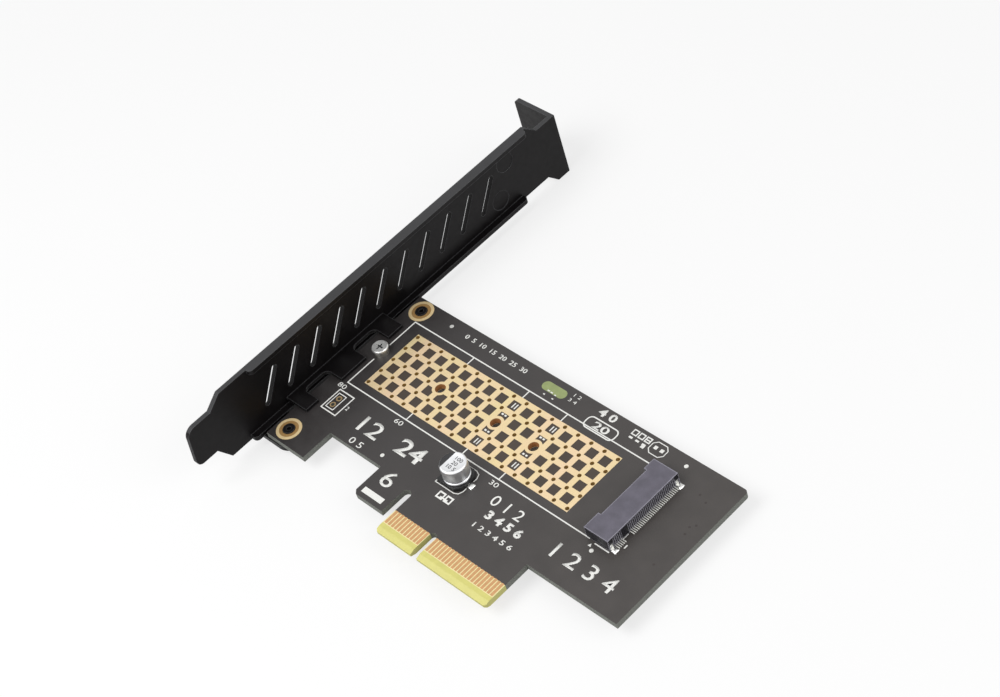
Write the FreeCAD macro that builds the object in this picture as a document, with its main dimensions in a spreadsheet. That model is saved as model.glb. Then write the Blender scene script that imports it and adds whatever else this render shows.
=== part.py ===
import FreeCAD, Part
import math
import os
import Sketcher

# An add-in card that carries a flat memory module in a computer's expansion slot.
# Frame: X runs along the card edge away from the bracket, Y away from the edge
# contacts across the board, Z out of the component side. The origin is the middle
# of the contact key, on the card edge, in the middle plane of the board.

Vector = FreeCAD.Vector
doc = FreeCAD.newDocument("adapter_card")
sheet = doc.addObject("Spreadsheet::Sheet", "sizes")

# Driving dimensions in millimetres, each with what it measures.
SIZES = [
    # board outline
    ("board_thick", 1.6, "thickness of the laminate"),
    ("key_to_bracket", 57.15, "contact key to the inner face of the bracket"),
    ("board_gap", 3.15, "inner face of the bracket to the board's end"),
    ("board_high", 53.75, "card edge to the long free edge"),
    ("board_low", 12.75, "card edge to the long lower edge"),
    ("foot_width", 12.9, "foot of the board beside the bracket"),
    ("foot_low", 4.2, "card edge to the ends of the foot and the hook"),
    ("hook_left", 23.9, "contact key to the outer side of the hook"),
    ("guide_slot", 2.45, "gap between the hook and the contact tab"),
    ("guide_slot_high", 11.85, "card edge to the round end of that gap"),
    ("tab_left", 12.15, "contact key to the bracket side of the contact tab"),
    ("tab_right", 22.15, "contact key to the far side of the contact tab"),
    ("key_width", 1.9, "width of the key notch"),
    ("key_high", 7.0, "card edge to the round end of the key notch"),
    ("tab_corner", 0.5, "corner cut of the contact tab"),
    ("hook_corner", 0.9, "corner cut of the hook"),
    ("board_corner", 1.0, "corner radius at the far end"),
    ("bevel_length", 1.3, "height of the bevel along the card edge"),
    ("bevel_depth", 0.45, "depth of that bevel into each face"),
    # plated copper
    ("copper", 0.05, "copper and plating above the laminate"),
    ("finger_width", 0.7, "one edge contact"),
    ("finger_pitch", 1.0, "edge contacts, centre to centre"),
    ("finger_start", 1.5, "contact key to the first contact on each side"),
    ("finger_low", 2.6, "card edge to the start of the contacts"),
    ("finger_high", 6.3, "card edge to the end of the contacts"),
    ("window_size", 2.5, "square window in the heat copper"),
    ("field_inset", 3.48, "screw of the longest module to the heat copper"),
    ("field_middle", 36.3, "card edge to the middle of the heat copper"),
    ("field_end", 1.35, "heat copper past the end columns of windows"),
    ("field_side", 1.5, "heat copper past the outer rows of windows"),
    ("ring_width", 4.0, "copper ring round a module screw hole"),
    ("mount_ring", 6.2, "copper ring round a bracket hole"),
    ("header_bore", 0.9, "hole for a header pin"),
    ("header_ring", 1.5, "copper ring of a header hole"),
    ("header_pitch", 2.0, "header holes, centre to centre"),
    ("header_left", 46.95, "contact key to the header holes"),
    ("header_low", 18.8, "card edge to the first header hole"),
    ("dot_width", 1.0, "camera target dot"),
    ("dot_inset", 2.5, "long free edge to the two dots beside it"),
    ("corner_dot_left", 40.5, "contact key to the dot by the upper pin hole"),
    ("hook_dot_left", 26.0, "contact key to the dot over the hook"),
    ("hook_dot_rise", 2.4, "long lower edge to the dot over the hook"),
    ("socket_dot_shift", 1.6, "module stop to the dot past the socket"),
    ("socket_dot_drop", 2.2, "socket's near end to the dot below it"),
    ("pad_width", 0.9, "bare solder pad"),
    ("pad_pair_left", 7.3, "module stop back to the first pad of the pair"),
    ("pad_pair_pitch", 1.8, "pads of the pair, centre to centre"),
    ("pad_inset", 2.4, "long free edge to the pair of pads"),
    ("test_pad_left", 9.9, "module stop back to the test pad"),
    ("test_pad_inset", 3.8, "long free edge to the test pad"),
    # bracket holes of the board
    ("mount_bore", 3.1, "hole for a bracket pin"),
    ("mount_reach", 6.9, "inner face of the bracket to the pin holes"),
    ("mount_low", 7.93, "card edge to the lower pin hole"),
    ("mount_high", 50.55, "card edge to the upper pin hole"),
    # module seat
    ("module_middle", 36.38, "card edge to the module's centre line"),
    ("screw_inset", 5.02, "end of the board to the screw of the longest module"),
    ("stop_to_end", 16.93, "module's stop in the socket to the far end of the board"),
    ("length_long", 80.0, "stop to the screw of the longest module"),
    ("length_third", 60.0, "stop to the screw of the next module"),
    ("length_second", 42.0, "stop to the screw of the next module"),
    ("length_short", 30.0, "stop to the screw of the shortest module"),
    ("screw_bore", 2.6, "hole for a module screw seat"),
    ("module_lift", 1.45, "board to the underside of the module"),
    # bracket
    ("bracket_length", 120.02, "screw tab to the end of the tongue"),
    ("bracket_high", 107.15, "card edge to the top of the screw tab"),
    ("bracket_width", 18.42, "width of the bracket's face"),
    ("bracket_low", 1.09, "middle of the board to the near edge of the face"),
    ("bracket_wall", 1.2, "thickness of the moulded plate"),
    ("tab_shift", 3.17, "step of the screw tab to the solder side"),
    ("tab_reach", 11.43, "outer face to the free edge of the screw tab"),
    ("tab_step", 6.2, "top of the screw tab to the step on the far edge"),
    ("ear_step", 3.8, "top of the screw tab to the step on the near edge"),
    ("ear_slope", 2.8, "run of the slope below the near step"),
    ("screw_notch", 4.42, "width of the screw notch"),
    ("screw_notch_reach", 6.35, "outer face to the middle of the screw notch"),
    ("screw_notch_depth", 4.0, "edge of the tab to the screw's middle"),
    ("tab_round", 1.0, "corner radius of the screw tab"),
    ("shoulder_far", 0.95, "card edge down to the far shoulder"),
    ("shoulder_far_run", 3.8, "run of the far shoulder's slope"),
    ("shoulder_near", 4.27, "card edge down to the near shoulder"),
    ("shoulder_near_run", 2.8, "run of the near shoulder's slope"),
    ("tongue_low", 3.45, "middle of the board to the tongue's near edge"),
    ("tongue_width", 10.9, "width of the tongue"),
    ("tongue_slant", 1.2, "slant of the tongue's end"),
    ("tongue_round", 2.6, "far corner radius of the tongue"),
    ("tongue_round_near", 1.6, "near corner radius of the tongue"),
    ("lip_wall", 1.2, "thickness of the stiffening lips"),
    ("far_lip", 1.45, "height of the far lip off the inner face"),
    ("far_lip_low", 7.25, "card edge to the start of the far lip"),
    ("far_lip_high", 97.25, "card edge to the end of the far lip"),
    ("near_lip", 1.85, "height of the near lip off the inner face"),
    ("near_lip_low", 1.75, "card edge to the start of the near lip"),
    ("near_lip_high", 91.95, "card edge to the end of the near lip"),
    ("lip_round", 1.1, "rounding of the lips' ends"),
    ("vent_pitch", 7.07, "air slots, middle to middle"),
    ("vent_start", 8.9, "card edge to the low end of the first air slot"),
    ("vent_low", 4.45, "middle of the board to the near end of an air slot"),
    ("vent_run", 5.0, "lean of an air slot along the bracket"),
    ("vent_rise", 7.5, "rise of an air slot across the bracket"),
    ("vent_width", 1.4, "width of an air slot"),
    ("ejector_width", 5.2, "round ejector mark of the mould"),
    ("ejector_far_high", 89.6, "card edge to the far ejector mark"),
    ("ejector_far_rise", 13.0, "middle of the board to the far ejector mark"),
    ("ejector_near_high", 85.4, "card edge to the near ejector mark"),
    ("ejector_near_rise", 3.9, "middle of the board to the near ejector mark"),
    ("ejector_depth", 0.12, "depth of an ejector mark"),
    ("ledge_low", 13.65, "card edge to the start of the board ledge"),
    ("ledge_high", 44.65, "card edge to the end of the board ledge"),
    ("ledge_reach", 6.85, "inner face to the front of the board ledge"),
    ("ledge_thick", 0.9, "height of the board ledge"),
    ("notch_width", 7.3, "gap in the ledge for the module's screw seat"),
    ("notch_back", 1.65, "inner face to the back wall of that gap"),
    ("notch_spacing", 15.2, "first gap in the ledge to the second"),
    ("notch_round", 1.5, "corner radius at the back of the gaps"),
    ("lug_radius", 4.0, "round end of a pin lug"),
    ("lug_thick", 1.3, "thickness of a pin lug"),
    ("pin_clearance", 0.1, "bracket pin in its hole, all round"),
    ("pin_rise", 0.2, "bracket pin above the board"),
    ("pin_bore", 1.1, "hollow of a bracket pin"),
    # module socket
    ("socket_length", 21.9, "socket along its contact rows"),
    ("socket_front", 3.42, "module stop to the front of the end ears"),
    ("socket_rear", 3.43, "module stop to the rear face"),
    ("socket_tall", 3.2, "board to the top of the socket"),
    ("recess_depth", 0.75, "set-back of the mouth behind the ears"),
    ("recess_low", 6.43, "module middle to the ear at the key end"),
    ("recess_high", 7.77, "module middle to the ear at the other end"),
    ("mouth_width", 20.1, "slot that takes the module's edge"),
    ("mouth_floor", 1.15, "board to the floor of that slot"),
    ("mouth_gap", 1.3, "height of that slot"),
    ("mouth_clearance", 0.1, "slot past the module's stop"),
    ("rib_middle", 6.125, "module middle to the key rib"),
    ("rib_width", 1.0, "key rib"),
    ("contact_pitch", 0.5, "socket contacts in one row, centre to centre"),
    ("contact_start", 9.25, "module middle to the first upper contact"),
    ("contact_width", 0.2, "width of one socket contact"),
    ("contact_strip", 0.15, "sheet that the contacts are cut from"),
    ("contact_clearance", 0.03, "contact in its channel, on each side"),
    ("upper_channel", 0.4, "height of the channels above the slot"),
    ("upper_front", 2.3, "module stop to the tips of the upper contacts"),
    ("upper_dip", 0.32, "upper contact tips below their channels"),
    ("lower_beam", 0.75, "board to the beams of the lower contacts"),
    ("lower_end", 0.7, "lower contacts past the module's stop"),
    ("lower_tip", 1.4, "board to the tips of the lower contacts"),
    ("foot_reach", 4.58, "module stop to the toes of the rear feet"),
    ("leg_depth", 0.33, "rear face to the back of the upper contacts' legs"),
    ("clip_width", 0.9, "hold-down clip"),
    ("clip_sheet", 0.2, "thickness of a hold-down clip"),
    ("clip_tall", 1.5, "height of a hold-down clip"),
    ("clip_middle", 10.2, "module middle to a hold-down clip"),
    ("peg_width", 1.1, "locating peg under the socket"),
    ("peg_length", 1.2, "length of a locating peg"),
    ("peg_middle", 10.1, "module middle to a locating peg"),
    ("peg_clearance", 0.05, "peg in its hole, all round"),
    # screw and its seat
    ("seat_width", 3.6, "collar of the screw seat"),
    ("seat_clearance", 0.05, "spigot of the seat in the board, all round"),
    ("thread_width", 2.0, "module screw thread"),
    ("thread_clearance", 0.03, "thread in its seat, all round"),
    ("screw_length", 2.2, "module screw under its head"),
    ("head_width", 4.0, "module screw head"),
    ("head_tall", 0.6, "height of the screw head"),
    ("cross_length", 2.1, "cross recess, end to end"),
    ("cross_width", 0.45, "cross recess, across one arm"),
    ("cross_depth", 0.35, "depth of the cross recess"),
    # storage capacitor
    ("can_left", 6.8, "contact key to the capacitor's middle"),
    ("can_low", 20.6, "card edge to the capacitor's middle"),
    ("can_width", 6.3, "capacitor can"),
    ("can_tall", 5.4, "board to the top of the can"),
    ("can_neck", 0.25, "depth of the crimped neck"),
    ("can_neck_low", 0.75, "base to the middle of the crimped neck"),
    ("can_bevel", 0.25, "bevel of the can's top edge"),
    ("base_width", 6.6, "side of the capacitor's base"),
    ("base_thick", 0.9, "thickness of the base"),
    ("base_corner", 1.3, "corner cut on the plus side of the base"),
    ("lead_width", 0.65, "capacitor lead"),
    ("lead_sheet", 0.15, "thickness of a lead"),
    ("lead_reach", 4.5, "capacitor's middle to the end of a lead"),
    ("lead_root", 1.1, "capacitor's middle to the rise of a lead"),
    ("lead_clearance", 0.05, "lead in its channel, all round"),
    # lamp on the solder side, under the bare window of the board
    ("lamp_left", 6.45, "contact key to the lamp"),
    ("lamp_low", 50.8, "card edge to the lamp"),
    ("lamp_length", 2.0, "lamp base, end to end"),
    ("lamp_width", 1.25, "lamp base, side to side"),
    ("lamp_base", 0.3, "height of the lamp base"),
    ("lens_length", 1.2, "lamp lens, end to end"),
    ("lens_tall", 0.45, "height of the lens over its base"),
    ("lens_draft", 0.1, "taper of the lens on each side"),
    ("resistor_offset", 4.2, "lamp to its resistor"),
    ("resistor_length", 1.6, "resistor, end to end"),
    ("resistor_width", 0.8, "resistor, side to side"),
    ("resistor_tall", 0.45, "height of the resistor"),
    ("resistor_cap", 0.3, "metal end of the resistor"),
    ("resistor_cap_rise", 0.03, "metal ends over the resistor's body"),
]
WINDOW_COLUMNS = 16
WINDOW_ROWS = 4
FINGERS_NEAR = 11
FINGERS_FAR = 21
VENTS = 11
UPPER_MAIN = 29
UPPER_SHORT = 5
LOWER_MAIN = 29
LOWER_SHORT = 4
KEY_SKIP = 4
PITCHES_LONG = 20

for row, (alias, value, note) in enumerate(SIZES, start=1):
    sheet.set("A%d" % row, alias)
    sheet.set("B%d" % row, str(value))
    sheet.set("C%d" % row, note)
    sheet.setAlias("B%d" % row, alias)
doc.recompute()

# Levels and places that several pieces share, worked out from the sheet.
TOP = "sizes.board_thick / 2"
COPPER_TOP = "(sizes.board_thick / 2 + sizes.copper)"
BOARD_LEFT = "-(sizes.key_to_bracket - sizes.board_gap)"
MOUNT_X = "-(sizes.key_to_bracket - sizes.mount_reach)"
# The socket, the far end of the board and the heat copper follow the longest module.
LONG_SCREW = "(sizes.board_gap + sizes.screw_inset - sizes.key_to_bracket)"
MODULE_STOP = "(%s + sizes.length_long)" % LONG_SCREW
BOARD_RIGHT = "(%s + sizes.stop_to_end)" % MODULE_STOP
FIELD_LEFT = "(%s + sizes.field_inset)" % LONG_SCREW
WINDOW_PITCH = "(sizes.length_long / %d)" % PITCHES_LONG
SOCKET_FRONT = "-sizes.socket_front"
MOUTH_FRONT = "-(sizes.socket_front - sizes.recess_depth)"
PAST = "1"
THROUGH = "through"
EVEN_STEP = -1.0
NEAR = 0.001


def number(expression):
    """The present value of an expression on the sheet."""
    return float(sheet.evalExpression(expression))


def origin_part(body, role):
    """A base plane or axis of a body, such as XY_Plane or Z_Axis."""
    for feature in body.Origin.OriginFeatures:
        if feature.Role == role:
            return feature
    raise ValueError(role)


def bind_placement(item, place):
    """Tie an object's position to three expressions."""
    for axis, expression in zip("xyz", place):
        item.setExpression(".Placement.Base." + axis, expression)


def new_body(label, place=("0", "0", "0"), several=False):
    """A body at a place in the card's frame; several lets it hold separate solids."""
    body = doc.addObject("PartDesign::Body", label)
    body.Label = label
    body.AllowCompound = several
    bind_placement(body, place)
    return body


def new_sketch(body, name, plane="XY_Plane", level=None):
    """An empty sketch on a base plane, or at a level along the plane's normal."""
    sketch = body.newObject("Sketcher::SketchObject", name)
    sketch.AttachmentSupport = (origin_part(body, plane), [""])
    sketch.MapMode = "FlatFace"
    if level:
        sketch.setExpression(".AttachmentOffset.Base.z", level)
    return sketch


def bind_constraint(sketch, kind, items, expression):
    """Add a dimension to a sketch and tie it to an expression."""
    index = sketch.addConstraint(Sketcher.Constraint(kind, *items, number(expression)))
    sketch.setExpression("Constraints[%d]" % index, expression)


def hold_point(sketch, line, end, across, up):
    """Dimension one point of a sketch from the sketch's origin."""
    bind_constraint(sketch, "DistanceX", (-1, 1, line, end), across)
    bind_constraint(sketch, "DistanceY", (-1, 1, line, end), up)


def add_polygon(sketch, corners):
    """A closed outline of straight sides, each corner dimensioned."""
    first = sketch.GeometryCount
    count = len(corners)
    points = [Vector(number(across), number(up), 0) for across, up in corners]
    for i in range(count):
        sketch.addGeometry(Part.LineSegment(points[i], points[(i + 1) % count]))
    for i in range(count):
        joined = first + (i + 1) % count
        sketch.addConstraint(Sketcher.Constraint("Coincident", first + i, 2, joined, 1))
        hold_point(sketch, first + i, 1, *corners[i])


def add_rectangle(sketch, left, right, low, high):
    """A rectangle between two lines across and two lines up."""
    add_polygon(sketch, [(left, low), (right, low), (right, high), (left, high)])


def add_square(sketch, across, up, width):
    """A square round a middle."""
    half = "%s / 2" % width
    sides = [side % (middle, half) for middle in (across, up) for side in ("%s - %s", "%s + %s")]
    add_rectangle(sketch, *sides)


def add_circle(sketch, across, up, width):
    """A circle with its middle and its diameter dimensioned."""
    middle = Vector(number(across), number(up), 0)
    ring = sketch.addGeometry(Part.Circle(middle, Vector(0, 0, 1), number(width) / 2))
    bind_constraint(sketch, "Diameter", (ring,), width)
    hold_point(sketch, ring, 3, across, up)


def add_slot(sketch, start, end, width):
    """A slot with round ends between two middles."""
    a = Vector(number(start[0]), number(start[1]), 0)
    b = Vector(number(end[0]), number(end[1]), 0)
    radius = number(width) / 2
    turn = math.atan2(b.y - a.y, b.x - a.x)
    quarter = math.pi / 2
    side = Vector(-math.sin(turn), math.cos(turn), 0) * radius
    arcs = []
    for middle, opening in ((a, turn + quarter), (b, turn - quarter)):
        circle = Part.Circle(middle, Vector(0, 0, 1), radius)
        arcs.append(sketch.addGeometry(Part.ArcOfCircle(circle, opening, opening + math.pi)))
    low = sketch.addGeometry(Part.LineSegment(a - side, b - side))
    high = sketch.addGeometry(Part.LineSegment(b + side, a + side))
    for arc, arc_end, line, line_end in (
        (arcs[0], 2, low, 1),
        (arcs[1], 1, low, 2),
        (arcs[1], 2, high, 1),
        (arcs[0], 1, high, 2),
    ):
        sketch.addConstraint(Sketcher.Constraint("Tangent", arc, arc_end, line, line_end))
    sketch.addConstraint(Sketcher.Constraint("Equal", arcs[0], arcs[1]))
    bind_constraint(sketch, "Diameter", (arcs[0],), width)
    hold_point(sketch, arcs[0], 3, *start)
    hold_point(sketch, arcs[1], 3, *end)


def extrude(body, kind, name, sketch, length, both=False, flip=False):
    """A pad or a pocket of a sketch, to a length or through everything."""
    feature = body.newObject("PartDesign::" + kind, name)
    feature.Profile = sketch
    if length == THROUGH:
        feature.Type = "ThroughAll"
    else:
        feature.setExpression("Length", length)
    if both:
        feature.SideType = "Symmetric"
    feature.Reversed = flip
    return feature


def pad(body, name, sketch, length, both=False, flip=False):
    return extrude(body, "Pad", name, sketch, length, both, flip)


def pocket(body, name, sketch, length, both=False, flip=False):
    return extrude(body, "Pocket", name, sketch, length, both, flip)


def pattern(body, name, feature, rows):
    """Repeat a feature along one or two directions: (axis, pitch, count, backwards)."""
    repeat = body.newObject("PartDesign::LinearPattern", name)
    repeat.Originals = [feature]
    for suffix, (axis, pitch, count, backwards) in zip(("", "2"), rows):
        setattr(repeat, "Direction" + suffix, (origin_part(body, axis), [""]))
        setattr(repeat, "Mode" + suffix, "Spacing")
        setattr(repeat, "Reversed" + suffix, backwards)
        setattr(repeat, "Occurrences" + suffix, count)
        setattr(repeat, "Spacings" + suffix, [EVEN_STEP] * (count - 1))
        repeat.setExpression("Offset" + suffix, pitch)
    body.Tip = repeat
    return repeat


def revolve(body, name, sketch):
    """Turn a sketch once round the body's Z axis."""
    feature = body.newObject("PartDesign::Revolution", name)
    feature.Profile = sketch
    feature.ReferenceAxis = (origin_part(body, "Z_Axis"), [""])
    feature.Angle = 360
    return feature


def edges_through(feature, axis, spots):
    """Names of the straight edges along an axis that pass through the given spots.

    A spot is a pair of expressions for the two other coordinates, in order."""
    doc.recompute()
    along = "XYZ".index(axis)
    others = [i for i in range(3) if i != along]
    places = [[number(part) for part in spot] for spot in spots]
    names = []
    for index, edge in enumerate(feature.Shape.Edges, start=1):
        start = edge.Vertexes[0].Point
        end = edge.Vertexes[-1].Point
        if abs(end[along] - start[along]) < NEAR:
            continue
        for place in places:
            gaps = [abs(point[i] - want) for point in (start, end) for i, want in zip(others, place)]
            if max(gaps) < NEAR:
                names.append("Edge%d" % index)
    if len(names) < len(spots):
        raise ValueError("missing edge on " + feature.Name)
    return names


def dress(body, kind, name, feature, edges, size):
    """Round or bevel edges of a feature, to a size on the sheet."""
    dressed = body.newObject("PartDesign::" + kind, name)
    dressed.Base = (feature, edges)
    dressed.setExpression("Radius" if kind == "Fillet" else "Size", size)
    return dressed


def module_hole(length):
    """Where the screw of a module of that length sits, along X."""
    return "%s - sizes.%s" % (MODULE_STOP, length)


SCREW_HOLES = [
    (module_hole(length), "sizes.module_middle")
    for length in ("length_short", "length_second", "length_third")
]
LONG_HOLE = (module_hole("length_long"), "sizes.module_middle")
PIN_HOLES = [(MOUNT_X, "sizes.mount_low"), (MOUNT_X, "sizes.mount_high")]
HEADER_HOLES = [
    ("-sizes.header_left", "sizes.header_low"),
    ("-sizes.header_left", "sizes.header_low + sizes.header_pitch"),
]


def make_circuit_board():
    """The laminate: outline, contact tab with bevel, key, guide slot and all holes."""
    body = new_body("circuit_board")
    areas = [
        ("field", BOARD_LEFT, BOARD_RIGHT, "sizes.board_low", "sizes.board_high"),
        ("foot", BOARD_LEFT, BOARD_LEFT + " + sizes.foot_width", "sizes.foot_low", "sizes.board_high"),
        ("hook", "-sizes.hook_left", "0", "sizes.foot_low", "sizes.board_high"),
        ("contact_tab", "-sizes.tab_left", "sizes.tab_right", "0", "sizes.board_high"),
    ]
    for name, left, right, low, high in areas:
        sketch = new_sketch(body, name + "_outline")
        add_rectangle(sketch, left, right, low, high)
        area = pad(body, name, sketch, "sizes.board_thick", both=True)

    corners = edges_through(area, "Z", [("-sizes.tab_left", "0"), ("sizes.tab_right", "0")])
    area = dress(body, "Chamfer", "tab_corners", area, corners, "sizes.tab_corner")
    corners = edges_through(area, "Z", [("-sizes.hook_left", "sizes.foot_low")])
    area = dress(body, "Chamfer", "hook_corner", area, corners, "sizes.hook_corner")
    corners = edges_through(area, "Z", [(BOARD_RIGHT, "sizes.board_high")])
    dress(body, "Fillet", "far_corner", area, corners, "sizes.board_corner")

    sketch = new_sketch(body, "guide_slot_outline")
    middle = "-(sizes.tab_left + sizes.guide_slot / 2)"
    high = "sizes.guide_slot_high - sizes.guide_slot / 2"
    add_slot(sketch, (middle, "-sizes.guide_slot"), (middle, high), "sizes.guide_slot")
    pocket(body, "guide_slot", sketch, THROUGH, both=True)
    sketch = new_sketch(body, "key_outline")
    high = "sizes.key_high - sizes.key_width / 2"
    add_slot(sketch, ("0", "-sizes.key_width"), ("0", high), "sizes.key_width")
    pocket(body, "key_notch", sketch, THROUGH, both=True)

    sketch = new_sketch(body, "bevel_outline", "YZ_Plane")
    for side in ("", "-"):
        face = side + TOP
        inner = side + "(sizes.board_thick / 2 - sizes.bevel_depth)"
        beyond = side + "(sizes.board_thick / 2 + %s)" % PAST
        corners = [("0", inner), ("sizes.bevel_length", face), ("sizes.bevel_length", beyond)]
        corners += [("-" + PAST, beyond), ("-" + PAST, inner)]
        add_polygon(sketch, corners)
    pocket(body, "edge_bevel", sketch, THROUGH, both=True)

    for name, spots, bore in (
        ("pin_hole", PIN_HOLES, "sizes.mount_bore"),
        ("screw_hole", SCREW_HOLES + [LONG_HOLE], "sizes.screw_bore"),
        ("header_hole", HEADER_HOLES, "sizes.header_bore"),
    ):
        sketch = new_sketch(body, name + "_outline")
        for across, up in spots:
            add_circle(sketch, across, up, bore)
        pocket(body, name + "s", sketch, THROUGH, both=True)
    sketch = new_sketch(body, "peg_hole_outline")
    for side in ("-", "+"):
        up = "sizes.module_middle %s sizes.peg_middle" % side
        add_circle(sketch, MODULE_STOP, up, "sizes.peg_width + 2 * sizes.peg_clearance")
    pocket(body, "peg_holes", sketch, THROUGH, both=True)
    return body


def make_edge_contacts(label, side):
    """The row of gold contacts on one side of the contact tab, split by the key."""
    body = new_body(label, several=True)
    level = TOP if side > 0 else "-" + TOP
    half = "sizes.finger_width / 2"
    for name, direction, count in (("near", "-", FINGERS_NEAR), ("far", "", FINGERS_FAR)):
        sketch = new_sketch(body, name + "_contact_outline", level=level)
        middle = direction + "sizes.finger_start"
        left = middle + " - " + half
        right = middle + " + " + half
        add_rectangle(sketch, left, right, "sizes.finger_low", "sizes.finger_high")
        finger = pad(body, name + "_contact", sketch, "sizes.copper", flip=side < 0)
        step = ("X_Axis", "sizes.finger_pitch", count, direction == "-")
        pattern(body, name + "_contacts", finger, [step])
    return body


def make_heat_copper():
    """The bare copper field under the module: windows, and a ring at each screw hole."""
    body = new_body("heat_spread_copper")
    run = "(%d * %s + sizes.window_size)" % (WINDOW_COLUMNS - 1, WINDOW_PITCH)
    rise = "(%d * %s + sizes.window_size)" % (WINDOW_ROWS - 1, WINDOW_PITCH)
    left = "(%s + sizes.field_end)" % FIELD_LEFT
    low = "(sizes.field_middle - %s / 2)" % rise
    sketch = new_sketch(body, "field_outline", level=TOP)
    add_rectangle(
        sketch,
        FIELD_LEFT,
        "%s + %s + sizes.field_end" % (left, run),
        low + " - sizes.field_side",
        "%s + %s + sizes.field_side" % (low, rise),
    )
    pad(body, "field", sketch, "sizes.copper")

    sketch = new_sketch(body, "window_outline", level=COPPER_TOP)
    add_rectangle(sketch, left, left + " + sizes.window_size", low, low + " + sizes.window_size")
    window = pocket(body, "window", sketch, "sizes.copper")
    pattern(body, "windows", window, [
        ("X_Axis", WINDOW_PITCH, WINDOW_COLUMNS, False),
        ("Y_Axis", WINDOW_PITCH, WINDOW_ROWS, False),
    ])

    for name, width in (("ring", "sizes.ring_width"), ("bore", "sizes.screw_bore")):
        sketch = new_sketch(body, name + "_outline", level=TOP)
        for across, up in SCREW_HOLES:
            add_circle(sketch, across, up, width)
        if name == "ring":
            pad(body, "rings", sketch, "sizes.copper")
        else:
            pocket(body, "bores", sketch, THROUGH, both=True)
    return body


FACES = (("top", TOP, False), ("low", "-" + TOP, True))


def make_hole_rings(label, spots, bore, ring, faces=FACES):
    """Plated rings round holes of the board, on one face or on both."""
    body = new_body(label, several=True)
    for name, level, flip in faces:
        sketch = new_sketch(body, name + "_ring_outline", level=level)
        for across, up in spots:
            add_circle(sketch, across, up, bore)
            add_circle(sketch, across, up, ring)
        pad(body, name + "_rings", sketch, "sizes.copper", flip=flip)
    return body


def make_flat_pads(label, shapes):
    """Bare tinned spots on the component side: discs or squares of copper."""
    body = new_body(label, several=True)
    for index, (kind, across, up, width) in enumerate(shapes):
        sketch = new_sketch(body, "spot_outline_%d" % index, level=TOP)
        if kind == "disc":
            add_circle(sketch, across, up, width)
        else:
            add_square(sketch, across, up, width)
        pad(body, "spot_%d" % index, sketch, "sizes.copper")
    return body


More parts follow.
